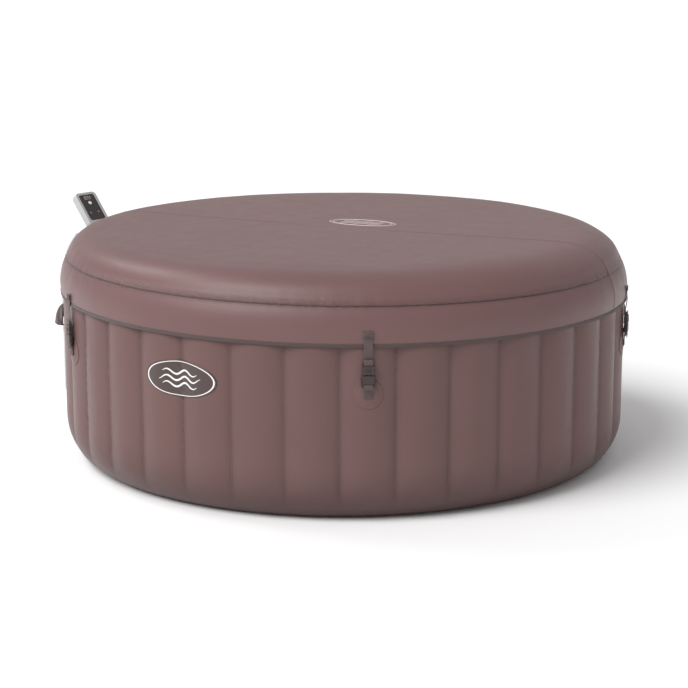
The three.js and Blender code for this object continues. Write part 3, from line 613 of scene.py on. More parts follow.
def seam_creases(f, x, y, z):
    """Small gathers above the rim seam: noise drawn out along the seam, strongest beside it."""
    azimuth = f.maths("ARCTAN2", x, f.maths("MULTIPLY", y, -1.0))
    spot = f.node("ShaderNodeCombineXYZ")
    f.put(f.maths("MULTIPLY", azimuth, 34.0), spot.inputs[0])
    f.put(f.maths("MULTIPLY_ADD", azimuth, 60.0, f.maths("MULTIPLY", z, 210.0)), spot.inputs[1])
    gathers = f.noise(spot.outputs[0], 1.0, 3.0, 0.6)
    offset = f.maths("SUBTRACT", z, rim_height_node(f, x))
    near = f.maths("MULTIPLY", f.ramp(offset, -0.006, 0.0), f.ramp(offset, 0.004, 0.030, 1.0, 0.0))
    return f.maths("MULTIPLY", gathers, near)


def radius_node(f, x, y):
    """Distance from the tub's axis: the root of x squared plus y squared."""
    return f.maths("SQRT", f.maths("ADD", f.maths("MULTIPLY", x, x), f.maths("MULTIPLY", y, y)))


def rim_height_node(f, x):
    """The rim seam's height: the skirt hangs slightly lower on the right."""
    return f.maths("MULTIPLY_ADD", x, -SKIRT_TILT / SKIRT_RADIUS, RIM_Z)


def webbing_finish(name, colour):
    """Woven webbing: the weave group on the strap's own UV, with a slight sheen."""
    f = Finish(name, 0.85, Sheen_Weight=0.15)
    height, shade = f.group("weave", f.uv)
    soft = f.group("mottle", Scale=30.0, Amount=0.2)[0]
    f.colour(f.shade(tint(*colour), f.maths("MULTIPLY", shade, soft)))
    f.normal(f.bump(height, 0.0005, 0.8))
    return f.material


def moulded_finish(name, colour, roughness, grain=900.0, depth=0.00015, mottle=0.1, coat=0.0):
    """Moulded plastic: a fine spark-eroded texture with slight unevenness in gloss and colour."""
    f = Finish(name, roughness, Coat_Weight=coat, Coat_Roughness=0.2)
    shade = f.group("mottle", Scale=8.0, Amount=mottle)[0]
    f.colour(f.shade(tint(*colour), shade))
    f.roughness(f.maths("MULTIPLY_ADD", f.noise(f.place, 60.0, 2.0), 0.12, roughness - 0.06))
    f.normal(f.bump(f.group("grain", Scale=grain)[0], depth, 0.5))
    return f.material


def film_finish(name, colour, roughness):
    """Printed film: smooth, with a slight ripple."""
    f = Finish(name, roughness, Coat_Weight=0.3, Coat_Roughness=0.15)
    f.colour(f.shade(tint(*colour), f.group("mottle", Scale=14.0, Amount=0.08)[0]))
    f.normal(f.bump(f.noise(f.place, 90.0, 2.0), 0.0003, 0.3))
    return f.material


def foil_finish():
    """Aluminised foam: crinkled, quilted in small squares."""
    f = Finish("foil liner", 0.35, 0.75)
    x, y, _ = f.parts(f.place)
    quilt = f.maths("MULTIPLY", f.maths("SINE", f.maths("MULTIPLY", x, 220.0)),
                    f.maths("SINE", f.maths("MULTIPLY", y, 220.0)))
    crinkle = f.noise(f.place, 60.0, 6.0, 0.7)
    f.colour(f.shade(tint(205, 207, 209), f.maths("MULTIPLY_ADD", crinkle, 0.3, 0.8)))
    f.normal(f.bump(f.maths("MULTIPLY_ADD", crinkle, 0.8, quilt), 0.0015, 0.6))
    return f.material


def paper_finish():
    """Pleated filter paper: fine pleats round the cartridge."""
    f = Finish("filter paper", 0.9)
    fibres = f.noise(f.place, 700.0, 4.0, 0.7)
    f.colour(f.shade(tint(228, 226, 218), f.maths("MULTIPLY_ADD", fibres, 0.2, 0.88)))
    f.normal(f.bump(fibres, 0.0004, 0.6))
    return f.material


def brushed_finish():
    """Metal with fine level lines: noise that changes fast with height."""
    f = Finish("brushed steel", 0.3, 1.0)
    stretch = f.node("ShaderNodeMapping")
    f.put(f.place, stretch.inputs[0])
    stretch.inputs["Scale"].default_value = (30.0, 30.0, 900.0)
    lines = f.noise(stretch.outputs[0], 1.0, 3.0)
    f.colour(f.shade(tint(190, 192, 195), f.maths("MULTIPLY_ADD", lines, 0.15, 0.9)))
    f.roughness(f.maths("MULTIPLY_ADD", lines, 0.2, 0.22))
    return f.material


MATERIALS = {
    "wall_vinyl": wall_finish(),
    "cover_cloth": cover_finish(),
    "foil_liner": foil_finish(),
    "bladder_film": film_finish("bladder film", (214, 214, 206), 0.4),
    "webbing": webbing_finish("strap webbing", (92, 78, 76)),
    "buckle_nylon": moulded_finish("buckle nylon", (58, 46, 45), 0.42),
    "badge_vinyl": film_finish("badge print", (68, 53, 51), 0.38),
    "handle_vinyl": moulded_finish("handle vinyl", (74, 58, 57), 0.42, 500.0, 0.0003),
    "light_grey_plastic": moulded_finish("light grey housing", (176, 176, 177), 0.4, 1100.0, 0.0001, 0.04,
                                         0.1),
    "panel_gloss": film_finish("panel face", (48, 37, 36), 0.16),
    "white_plastic": moulded_finish("white plastic", (236, 236, 234), 0.38, 1200.0, 0.0001, 0.04),
    "pipe_plastic": moulded_finish("pipe plastic", (184, 184, 182), 0.45),
    "filter_paper": paper_finish(),
    "steel": brushed_finish(),
    "circuit_board": moulded_finish("board lacquer", (50, 98, 68), 0.4, 300.0, 0.0001, 0.3),
    "hem_binding": webbing_finish("hem binding", (84, 70, 68)),
    "thread": moulded_finish("sewing thread", (112, 93, 90), 0.8, 2500.0, 0.0001),
    "print_white": film_finish("white print", (238, 236, 234), 0.45),
    "print_soft": film_finish("tone on tone print", (206, 192, 190), 0.6),
}


def finish_piece(piece, look, body="tub", replaces=()):
    """Gives a piece its material, its body and the CAD nodes that it stands for."""
    piece.data.materials.clear()
    piece.data.materials.append(MATERIALS[look])
    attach(piece, body)
    if replaces:
        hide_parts(*replaces)
    return piece


# ------------------------------------------------------------------ camera, light and floor


def make_camera():
    """Looks at the tub's middle from an azimuth, an elevation and a distance, rolled slightly."""
    target = Vector(CAMERA_TARGET)
    flat = math.cos(CAMERA_ELEVATION)
    direction = Vector((math.sin(CAMERA_AZIMUTH) * flat, -math.cos(CAMERA_AZIMUTH) * flat,
                        math.sin(CAMERA_ELEVATION)))
    data = bpy.data.cameras.new("camera")
    data.lens = CAMERA_LENS
    data.sensor_width = 36
    data.clip_end = 100
    camera = bpy.data.objects.new("camera", data)
    turn = (-direction).to_track_quat("-Z", "Y").to_matrix().to_4x4()
    spot = Matrix.Translation(target + direction * CAMERA_DISTANCE)
    camera.matrix_world = spot @ turn @ Matrix.Rotation(CAMERA_ROLL, 4, "Z")
    bpy.context.scene.collection.objects.link(camera)
    bpy.context.scene.camera = camera


def add_light(name, spot, target, size, power, colour=(1, 1, 1)):
    """Round soft box at a spot, turned to its target."""
    data = bpy.data.lights.new(name, "AREA")
    data.shape = "DISK"
    data.size = size
    data.energy = power
    data.color = colour
    light = bpy.data.objects.new(name, data)
    light.location = spot
    light.rotation_euler = (Vector(target) - Vector(spot)).to_track_quat("-Z", "Y").to_euler()
    bpy.context.scene.collection.objects.link(light)


def add_sun(name, azimuth, elevation, angle, strength):
    """Broad sun from an azimuth and an elevation."""
    data = bpy.data.lights.new(name, "SUN")
    data.angle = angle
    data.energy = strength
    light = bpy.data.objects.new(name, data)
    flat = math.cos(elevation)
    toward = Vector((math.sin(azimuth) * flat, -math.cos(azimuth) * flat, math.sin(elevation)))
    light.rotation_euler = (-toward).to_track_quat("-Z", "Y").to_euler()
    bpy.context.scene.collection.objects.link(light)


def make_studio():
    """Broad sun from the upper left front, a soft box that glosses the shoulder, pale surroundings."""
    add_sun("key", KEY_AZIMUTH, KEY_ELEVATION, KEY_ANGLE, KEY_STRENGTH)
    add_light("gloss", (-4.4, 2.2, 5.2), (0, 0, 0.7), 2.6, 110)
    world = bpy.data.worlds.new("surroundings")
    world.use_nodes = True
    world.node_tree.nodes["Background"].inputs["Color"].default_value = (1.0, 1.0, 1.0, 1.0)
    world.node_tree.nodes["Background"].inputs["Strength"].default_value = SURROUNDINGS_STRENGTH
    bpy.context.scene.world = world
    bpy.context.scene.view_settings.view_transform = "Standard"
    reach = np.linspace(-70, 70, 3)
    x, y = np.meshgrid(reach, reach)
    floor = surface("floor", np.stack([x, y, np.full_like(x, -0.0005)], axis=-1))
    f = Finish("floor paint", 0.9)
    f.colour((0.97, 0.97, 0.97, 1.0))
    floor.data.materials.append(f.material)


# ------------------------------------------------------------------ tub wall


def groove_distance(azimuth):
    """Distance along the wall from the nearest groove."""
    share = azimuth / PITCH - np.round(azimuth / PITCH)
    return (0.5 - np.abs(share)) * PITCH * TUB_RADIUS


def rib_bulge(azimuth):
    """How far a rib stands out, 0 in the weld strip and 1 on the crest, as a rounded arch."""
    distance = np.maximum(groove_distance(azimuth) - WELD_HALF, 0)
    half = PITCH * TUB_RADIUS / 2 - WELD_HALF
    return 1 - (1 - distance / half) ** 2.0


def flute_fade(z):
    """Full depth on the wall, fading into the round foot and under the cover."""
    return smoothstep(z, 0.028, 0.150) * (1 - smoothstep(z, WALL_TOP + 0.03, TUB_HEIGHT - 0.02))


def wall_radius(azimuth, z):
    """Outer radius on the upright part of the wall, with its ribs and its weld puckers."""
    fade = flute_fade(z)
    uneven = 1 + 0.10 * whole_waves(3, 4, 5, 17, azimuth, z, 1.0)
    depth = RIB_DEPTH * uneven * (1 - rib_bulge(azimuth))
    near = np.exp(-groove_distance(azimuth) / 0.016)
    pucker = 0.0011 * near * np.sin(z * 260 + 9 * whole_waves(5, 5, 30, 90, azimuth, z, 40))
    soft = 0.0009 * whole_waves(8, 6, 20, 80, azimuth, z, 22)
    return TUB_RADIUS - (depth + pucker + soft + 0.0009) * fade


def rib_columns():
    """Azimuths round the tub, closer together beside the welds."""
    half = PITCH * TUB_RADIUS / 2
    near = np.array([0, 0.0018, WELD_HALF, 0.0055, 0.0085, 0.0125, 0.018, 0.026, 0.037, 0.050, 0.064, 0.077])
    one = np.concatenate([near, 2 * half - near[:0:-1]]) / (2 * half)
    return ((np.arange(RIBS)[:, None] + one - 0.5) * PITCH).ravel()


def make_chamber():
    """The inflated ring: fluted outer wall, round foot and top, ribbed inner wall, flat underside.

    The section is a loop of (radius, height) points: quarter ellipses for the rolls and straight
    lines between them. The radius then loses the flute's depth outside and gains it inside."""
    half = CHAMBER / 2
    foot = np.radians(np.linspace(0, 88, 16))
    top = np.radians(np.linspace(90, -90, 21))
    section = np.concatenate([
        np.stack([SEAM_RADIUS + half * np.sin(foot), FOOT_RISE * (1 - np.cos(foot))], axis=-1),
        np.stack([np.full(31, TUB_RADIUS), np.linspace(FOOT_RISE, WALL_TOP - 0.008, 31)], axis=-1),
        np.stack([SEAM_RADIUS + half * np.sin(top), WALL_TOP + TOP_DROP * np.cos(top)], axis=-1),
        np.stack([np.full(12, INNER_RADIUS), np.linspace(WALL_TOP - 0.03, 0.03, 12)], axis=-1),
        [(INNER_RADIUS + 0.003, FLOOR_TOP + 0.0006), (SEAM_RADIUS - 0.006, FLOOR_TOP + 0.0006)],
    ])
    radius, z = section[:, 0, None], section[:, 1, None]
    azimuth = rib_columns()[None, :]
    outer = smoothstep(radius, SEAM_RADIUS, SEAM_RADIUS + 0.05)
    inner = 1 - smoothstep(radius, INNER_RADIUS, INNER_RADIUS + 0.05)
    dent_out = TUB_RADIUS - wall_radius(azimuth, z)
    dent_in = INNER_RIB_DEPTH * (1 - rib_bulge(azimuth)) * smoothstep(z, 0.01, 0.12)
    shaped = radius - outer * dent_out + inner * dent_in
    piece = surface("air_chamber", polar(shaped, azimuth, z), close_rows=True, close_columns=True)
    finish_piece(piece, "wall_vinyl", replaces=("outer_wall", "inner_wall"))


def make_floor_of_tub():
    """Base sheet: a disc whose upper side has a slight soft ripple, with a closed flat underside."""
    edge = SEAM_RADIUS - 0.0035
    radius = np.concatenate([[0.0], np.linspace(0.03, edge, 40), [edge], np.linspace(edge, 0.1, 8), [0.0]])
    z = np.concatenate([np.full(41, FLOOR_TOP), np.zeros(10)])
    azimuth = np.linspace(0, TAU, 180, endpoint=False)[None, :]
    ripple = 0.0008 * whole_waves(21, 6, 3, 11, azimuth, radius[:, None], 30)
    height = z[:, None] - np.where(z[:, None] > 0, 0.0009 + ripple, 0.0) * (radius[:, None] < edge)
    piece = surface("base_sheet", polar(radius[:, None], azimuth, height), close_columns=True)
    finish_piece(piece, "wall_vinyl", replaces=("floor_sheet",))


def make_bubble_ring():
    """Air ring on the floor, a torus with small outlets on its upper side."""
    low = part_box("bubble_ring")[0]
    tube = 0.016
    ring = -low[1] - tube
    turn = np.linspace(0, TAU, 18, endpoint=False)[:, None]
    azimuth = np.linspace(0, TAU, 240, endpoint=False)[None, :]
    dimple = 0.0015 * np.clip(np.sin(azimuth * 60), 0.9, 1) * 10 - 0.0135
    radius = ring - 0.001 + (tube - dimple * (np.abs(turn - math.pi / 2) < 0.3)) * np.cos(turn)
    z = low[2] + tube + tube * 0.95 * np.sin(turn) * np.ones_like(azimuth)
    piece = surface("air_ring", polar(radius, azimuth, z), close_rows=True, close_columns=True)
    finish_piece(piece, "wall_vinyl", replaces=("bubble_ring",))


# ------------------------------------------------------------------ cover


def cover_section(share):
    """(radius, height) along the cover from its middle (0) to its hem (1), a smooth curve."""
    points = [
        (0.0, CREST_Z - DISH), (0.25, CREST_Z - DISH * 0.9), (0.50, CREST_Z - DISH * 0.5),
        (0.70, CREST_Z), (CREST_RADIUS, CREST_Z - 0.001), (0.860, CREST_Z - 0.007),
        (0.903, CREST_Z - 0.023), (0.935, CREST_Z - 0.050), (RIM_RADIUS, RIM_Z),
        (SKIRT_RADIUS - 0.007, RIM_Z - 0.035), (SKIRT_RADIUS, RIM_Z - 0.075),
        (SKIRT_RADIUS - 0.002, HEM_Z + 0.004),
    ]
    curve = smooth_path(points, 900)
    length = np.concatenate([[0], np.cumsum(np.linalg.norm(np.diff(curve, axis=0), axis=1))])
    length /= length[-1]
    return np.interp(share, length, curve[:, 0]), np.interp(share, length, curve[:, 1])


def cover_rows():
    """Shares of the way from the middle to the hem, closer together beside the rim seam."""
    rough = np.linspace(0, 1, 4000)
    radius, z = cover_section(rough)
    near = np.exp(-np.abs(z - RIM_Z) / 0.012) * (radius > 0.9)
    weight = 1 + 9 * near + 1.2 * (radius > 0.7) + 2 * np.exp(-(1 - rough) / 0.01)
    total = np.cumsum(weight)
    return np.interp(np.linspace(total[0], total[-1], 92), total, rough)


def cover_columns():
    """Azimuths with extra ones beside the seam across the middle."""
    even = np.arange(0, 360, 0.75)
    fine = np.array([-0.52, -0.38, -0.27, -0.18, -0.11, -0.05, 0.0, 0.05, 0.11, 0.18, 0.27, 0.38, 0.52])
    seam = math.degrees(SEAM_AZIMUTH)
    extra = np.concatenate([seam + fine, seam + 180 + fine])
    keep = np.all(np.abs(even[:, None] - np.array([seam, seam + 180])) > 0.6, axis=1)
    return np.radians(np.sort(np.concatenate([even[keep], extra])))


def cover_point(share, azimuth):
    """Cover surface with its soft unevenness, rim puckers, seam valleys and slight sag to the right."""
    radius, z = cover_section(share)
    radius, z, azimuth = np.broadcast_arrays(radius, z, azimuth)
    flat = smoothstep(radius, 0.05, 0.35)
    x, y = radius * np.sin(azimuth), -radius * np.cos(azimuth)
    top = 1 - smoothstep(radius, 0.80, 0.93)
    side = 1 - top
    swell = 0.0022 * waves(11, 7, 4, 13, x, y) + 0.0007 * waves(12, 7, 20, 46, x, y)
    rim = np.where(radius > 0.9, np.abs(z - RIM_Z), 1.0)
    pleat = whole_waves(13, 9, 70, 230, azimuth, z, 25)
    above = np.where(z > RIM_Z, 1.0, 0.35)
    pucker = above * np.exp(-rim / 0.018) * 0.0042 * pleat
    pucker = pucker + np.exp(-rim / 0.04) * 0.0014 * whole_waves(14, 6, 28, 80, azimuth, z, 20)
    valley = 0.0036 * np.exp(-(rim / 0.0028) ** 2)
    across = np.abs(x * math.cos(SEAM_AZIMUTH) + y * math.sin(SEAM_AZIMUTH))
    middle = (0.0020 * np.exp(-(across / 0.0028) ** 2) - 0.0012 * np.exp(-(across / 0.012) ** 2)) * flat
    tuck = 0.0008 * np.exp(-across / 0.012) * np.sin(240 * (x * math.sin(SEAM_AZIMUTH) - y * math.cos(SEAM_AZIMUTH)))
    sway = 0.0012 * whole_waves(15, 5, 5, 23, azimuth, z, 12) * side
    radius = radius + side * (pucker + sway - valley - middle - 0.0022)
    z = z + top * (swell * flat + pucker - valley - middle + tuck * flat - 0.0022)
    return radius, z - SKIRT_TILT * side * np.sin(azimuth)


def make_cover():
    """Cover cloth: cover_point over its rows and columns, given the cloth's thickness."""
    azimuth = cover_columns()[None, :]
    radius, z = cover_point(cover_rows()[:, None], azimuth)
    piece = surface("cover_cloth", polar(radius, azimuth, z), close_columns=True)
    thicken(piece, COVER_THICKNESS)
    finish_piece(piece, "cover_cloth", "cover", replaces=("cover_shell",))


def hem_line(azimuth):
    """(radius, height) of the cover's edge at an azimuth."""
    radius, z = cover_point(np.ones_like(azimuth), azimuth)
    return radius, z


def make_hem():
    """Binding folded over the cloth's edge: a flat rounded section carried round the hem."""
    azimuth = np.linspace(0, TAU, 480, endpoint=False)
    radius, z = hem_line(azimuth)
    turn = np.linspace(0, TAU, 20, endpoint=False)[:, None]
    half_height, half_width = 0.0065, 0.0027
    across = np.sign(np.cos(turn)) * np.abs(np.cos(turn)) ** 0.6 * half_width
    up = np.sign(np.sin(turn)) * np.abs(np.sin(turn)) ** 0.5 * half_height
    ruffle = 0.0006 * whole_waves(31, 5, 60, 140, azimuth, z, 5)
    points = polar(radius - COVER_THICKNESS / 2 + across + ruffle, azimuth, z + up + 0.0030)
    uv = np.stack(np.broadcast_arrays(up, azimuth[None, :] * SKIRT_RADIUS), axis=-1)
    piece = surface("hem_binding", points, close_rows=True, close_columns=True, uv=uv)
    finish_piece(piece, "hem_binding", "cover")
    count = 840
    spot = np.linspace(0, TAU, count, endpoint=False)
    radius, z = hem_line(spot)
    out = polar(1.0, spot, 0.0)
    along = polar(1.0, spot + math.pi / 2, 0.0)
    row = stitches("hem_stitches", polar(radius + 0.0017, spot, z + 0.0068), along, out)
    finish_piece(row, "thread", "cover")


def make_rim_stitches():
    """Topstitching under the rim seam."""
    count = 900
    spot = np.linspace(0, TAU, count, endpoint=False)
    share = np.interp(RIM_Z - 0.0075, *reversed_section())
    radius, z = cover_point(np.full(count, share), spot)
    out = polar(1.0, spot, 0.0)
    along = polar(1.0, spot + math.pi / 2, 0.0)
    row = stitches("rim_stitches", polar(radius + 0.0002, spot, z), along, out, 0.0040, 0.0008)
    finish_piece(row, "cover_cloth", "cover")


def reversed_section():
    """Height and share along the skirt, with height rising, for finding a share by its height."""
    share = np.linspace(0.55, 1, 500)
    _, z = cover_section(share)
    return z[::-1], share[::-1]


def make_liner():
    """Foil-faced foam under the cover: a thin disc with a slight quilted swell."""
    low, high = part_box("cover_liner")
    edge = -low[1]
    radius = np.concatenate([[0.0], np.linspace(0.04, edge - 0.002, 60), [edge],
                             np.linspace(edge - 0.002, 0.1, 8), [0.0]])
    lower = np.arange(len(radius)) <= 61
    azimuth = np.linspace(0, TAU, 240, endpoint=False)[None, :]
    swell = 0.0004 * whole_waves(41, 5, 5, 19, azimuth, radius[:, None], 40)
    z = np.where(lower[:, None], low[2] + 0.0004 + swell * (radius[:, None] < 0.93), high[2])
    piece = surface("foil_liner", polar(radius[:, None], azimuth, z), close_columns=True)
    finish_piece(piece, "foil_liner", "cover", replaces=("cover_liner",))


def on_cover(x, y, lift):
    """Points that lie on the top of the cover at plan position x, y, raised by lift."""
    radius = np.hypot(x, y)
    azimuth = np.arctan2(x, -y)
    share_table = np.linspace(0, 0.7, 800)
    radius_table, _ = cover_section(share_table)
    share = np.interp(radius, radius_table, share_table)
    _, z = cover_point(share, azimuth)
    return np.stack([x, y, z + lift], axis=-1)


def make_lid_print():
    """Tone on tone print: an oval outline round three level waves, printed in a raised ink."""
    toward = np.array([math.sin(SEAM_AZIMUTH), -math.cos(SEAM_AZIMUTH)])
    behind = np.array([-toward[1], toward[0]])
    centre = behind * 0.115 + toward * 0.02
    if centre[1] < 0:
        centre = -behind * 0.115 + toward * 0.02
    turn = np.linspace(0, TAU, 160, endpoint=False)
    pieces = []
    for scale in (1.0, 0.9):
        oval = (centre + np.outer(np.cos(turn) * 0.123 * scale, toward)
                + np.outer(np.sin(turn) * 0.060 * scale, behind))
        oval = np.vstack([oval, oval[:1]])
        step = np.gradient(np.vstack([oval[-2], oval, oval[1]]), axis=0)[1:-1]
        pieces.append(print_strip("lid_oval", oval, step, 0.0035, True))
    along = np.linspace(-0.075, 0.075, 60)
    for offset in (-0.020, 0.0, 0.020):
        wave = offset + 0.0065 * np.sin(along * 110)
        line = centre + np.outer(along, toward) + np.outer(wave, behind)
        pieces.append(print_strip("lid_wave", line, np.gradient(line, axis=0), 0.0045, False))
    mark = join_pieces("lid_print", pieces)
    finish_piece(mark, "print_soft", "cover")


def print_strip(name, line, step, width, closed):
    """Ink strip along a plan line on the cover: four edges, the lower two just under the cloth."""
    step = step / np.linalg.norm(step, axis=1)[:, None]
    side = np.stack([-step[:, 1], step[:, 0]], axis=-1)
    offsets = np.array([(-0.5, -0.0006), (-0.5, 0.0004), (0.5, 0.0004), (0.5, -0.0006)])
    flat = line[:, None] + side[:, None] * (offsets[:, 0, None] * width)
    lift = np.broadcast_to(offsets[:, 1], flat.shape[:2])
    points = on_cover(flat[..., 0], flat[..., 1], lift)
    if closed:
        points = points[:-1]
    else:
        middle = points[[0, -1]].mean(axis=1, keepdims=True)
        points = np.concatenate([np.repeat(middle[:1], 4, axis=1), points, np.repeat(middle[1:], 4, axis=1)])
    return surface(name, points, close_rows=closed, close_columns=True)


# ------------------------------------------------------------------ straps and buckles


def hook_path(start, knee, bar, direction):
    """Webbing from a sewn end past a knee, down behind a bar, under it and back up in front."""
    half = 0.0025 + 0.0016
    low = bar - direction * 0.0045
    turn = np.radians(np.linspace(180, 360, 9))
    loop = [(BUCKLE_R + half * math.cos(t), low + direction * half * math.sin(t)) for t in turn]
    down = smooth_path([start, knee, (BUCKLE_R - half, bar + direction * 0.012)], 26)
    up = [(BUCKLE_R + half, bar + direction * 0.004), (BUCKLE_R + half, bar + direction * 0.012)]
    return np.vstack([down, [(BUCKLE_R - half, bar)], loop, up])


def make_cover_strap(azimuth, number):
    """Hold-down strap: sewn to the skirt, hooked round the socket's bar."""
    bar = SOCKET_HIGH - 0.002
    top = (SKIRT_RADIUS + 0.0012, HEM_Z + 0.047)
    mid = (SKIRT_RADIUS + 0.0030, HEM_Z + 0.004)
    path = np.vstack([smooth_path([top, (SKIRT_RADIUS + 0.0012, HEM_Z + 0.024), mid], 12)[:-1],
                      hook_path(mid, (SKIRT_RADIUS + 0.001, HEM_Z - 0.018), bar, 1)])
    strap = band("strap", path, WEB_WIDTH, WEB_THICKNESS, azimuth)
    tab = band("tab", [(SKIRT_RADIUS + 0.0030, HEM_Z + 0.050), (SKIRT_RADIUS + 0.0034, HEM_Z + 0.040),
                       (SKIRT_RADIUS + 0.0033, HEM_Z + 0.030)], WEB_WIDTH + 0.004, WEB_THICKNESS, azimuth)
    piece = join_pieces(f"hold_down_strap_{number}", [strap, tab])
    finish_piece(piece, "webbing", "cover", replaces=(f"cover_strap_{number}",))
    box_stitches(f"strap_stitches_{number}", azimuth, HEM_Z + 0.040, SKIRT_RADIUS + 0.0045, 0.020, 0.014,
                 "cover")


def box_stitches(name, azimuth, height, outward, width, tall, body):
    """Thread sewn in a box with a cross in it."""
    w, h = width / 2, tall / 2
    corners = [(-w, -h), (w, -h), (w, h), (-w, h), (-w, -h), (w, h), (-w, h), (w, -h)]
    middles, along = [], []
    for (x0, z0), (x1, z1) in zip(corners[:-1], corners[1:]):
        length = math.hypot(x1 - x0, z1 - z0)
        count = max(2, round(length / 0.0032))
        share = (np.arange(count) + 0.5) / count
        middles.append(np.stack([x0 + (x1 - x0) * share, z0 + (z1 - z0) * share], axis=-1))
        along.append(np.repeat([[x1 - x0, z1 - z0]], count, axis=0))
    middles, along = np.vstack(middles), np.vstack(along)
    points = place(azimuth, middles[:, 0], outward, height + middles[:, 1])
    ways = place(azimuth, along[:, 0], 0.0, along[:, 1])
    out = np.broadcast_to(place(azimuth, 0.0, 1.0, 0.0), points.shape)
    row = stitches(name, points, ways, out, 0.0026, 0.0008)
    finish_piece(row, "thread", body)


def make_socket(azimuth, number):
    """Buckle socket: thick body with side windows, raised arrows, and a bar in a slotted top."""
    low, high = SOCKET_LOW, SOCKET_HIGH
    body_top = high - 0.0095
    front, back = BUCKLE_R + 0.007, BUCKLE_R - 0.007
    outline = [(-0.020, low), (0.020, low), (0.020, body_top - 0.018), (0.0175, body_top - 0.0165),
               (0.0175, body_top - 0.0085), (0.020, body_top - 0.007), (0.0195, body_top),
               (-0.0195, body_top),
               (-0.020, body_top - 0.007), (-0.0175, body_top - 0.0085), (-0.0175, body_top - 0.0165),
               (-0.020, body_top - 0.018)]
    body = plate("body", [outline], back, front, at(azimuth), 0.0016)
    ring_outer = [(-0.0195, body_top - 0.002), (0.0195, body_top - 0.002), (0.0188, high), (-0.0188, high)]
    ring_slot = [(-0.0155, body_top + 0.0015), (0.0155, body_top + 0.0015),
                 (0.0155, high - 0.0042), (-0.0155, high - 0.0042)]
    ring = plate("ring", [ring_outer, ring_slot], BUCKLE_R - 0.0026, BUCKLE_R + 0.0026, at(azimuth), 0.0008)
    pieces = [body, ring]
    for lift in (0.0, 0.0065):
        pieces.append(chevron(azimuth, low + 0.0075 + lift, front))
    piece = join_pieces(f"socket_{number}", pieces)
    finish_piece(piece, "buckle_nylon", "cover", replaces=(f"buckle_socket_{number}",))


def chevron(azimuth, height, front):
    """Small raised arrow that shows which way the plug goes in."""
    w, h, t = 0.0075, 0.005, 0.0022
    outline = [(-w, height + h), (-w, height + h - t), (0, height - t),
               (w, height + h - t), (w, height + h), (0, height)]
    return plate("chevron", [outline], front - 0.0004, front + 0.0014, at(azimuth), 0.0003, 1)


def make_plug(azimuth, number):
    """Buckle plug: squeeze shoulders, two prongs and a centre rail inside the socket, a slotted foot."""
    low, top = PLUG_LOW, PLUG_HIGH
    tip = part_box("buckle_plug_1")[1][2]
    half = 0.023
    blade = [(-half, low + 0.010), (half, low + 0.010), (half, top - 0.010), (0.0195, top), (0.0165, top),
             (0.0150, top + 0.006), (0.0165, tip - 0.009), (0.0150, tip - 0.001), (0.0095, tip),
             (0.0095, top),
             (0.0025, top), (0.0025, tip - 0.004), (-0.0025, tip - 0.004), (-0.0025, top), (-0.0095, top),
             (-0.0095, tip), (-0.0150, tip - 0.001), (-0.0165, tip - 0.009), (-0.0150, top + 0.006),
             (-0.0165, top), (-0.0195, top), (-half, top - 0.010)]
    pieces = [plate("blade", [blade], BUCKLE_R - 0.0033, BUCKLE_R + 0.0033, at(azimuth), 0.0008)]
    grip = rounded(0.038, top - low - 0.012, 0.004, (0.0, (top + low) / 2 + 0.005))
    pieces.append(plate("grip", [grip], BUCKLE_R - 0.0068, BUCKLE_R + 0.0068, at(azimuth), 0.0018))
    outer = [(-half, low), (half, low), (half, low + 0.012), (-half, low + 0.012)]
    slot = [(-0.0165, low + 0.0045), (0.0165, low + 0.0045), (0.0165, low + 0.0100), (-0.0165, low + 0.0100)]
    pieces.append(plate("foot", [outer, slot], BUCKLE_R - 0.0026, BUCKLE_R + 0.0026, at(azimuth), 0.0009))
    for side in (-1, 1):
        for i in range(4):
            x = side * 0.0212
            ridge = rounded(0.0026, 0.0016, 0.0007, (x, low + 0.015 + i * 0.0034), 3)
            pieces.append(plate("ridge", [ridge], BUCKLE_R - 0.0046, BUCKLE_R + 0.0046, at(azimuth)))
    piece = join_pieces(f"plug_{number}", pieces)
    finish_piece(piece, "buckle_nylon", replaces=(f"buckle_plug_{number}",))


def on_wall(azimuth, across, height, lift):
    """Points on the outer wall: across along the wall from an azimuth, raised by lift."""
    across, height, lift = np.broadcast_arrays(across, height, lift)
    spot = azimuth + across / TUB_RADIUS
    return polar(wall_radius(spot, height) + lift, spot, height)


def make_patch(azimuth, number):
    """Round welded patch: a disc that follows the wall, with a raised inner disc, and a closed back."""
    share = np.array([0, 0.3, 0.55, 0.64, 0.68, 0.70, 0.73, 0.85, 0.95, 0.99, 1.0, 1.0, 0.6, 0.0])
    lift = np.array([2.5, 2.5, 2.4, 2.2, 1.9, 1.4, 1.1, 1.1, 1.1, 0.9, 0.5, -0.4, -0.4, -0.4]) / 1000
    turn = np.linspace(0, TAU, 64, endpoint=False)
    across = share[:, None] * PATCH_RADIUS * np.sin(turn)
    height = PATCH_Z + share[:, None] * PATCH_RADIUS * np.cos(turn)
    points = on_wall(azimuth, across, height, lift[:, None] + 0.0006)
    piece = surface(f"wall_patch_{number}", points, close_columns=True)
    finish_piece(piece, "wall_vinyl")


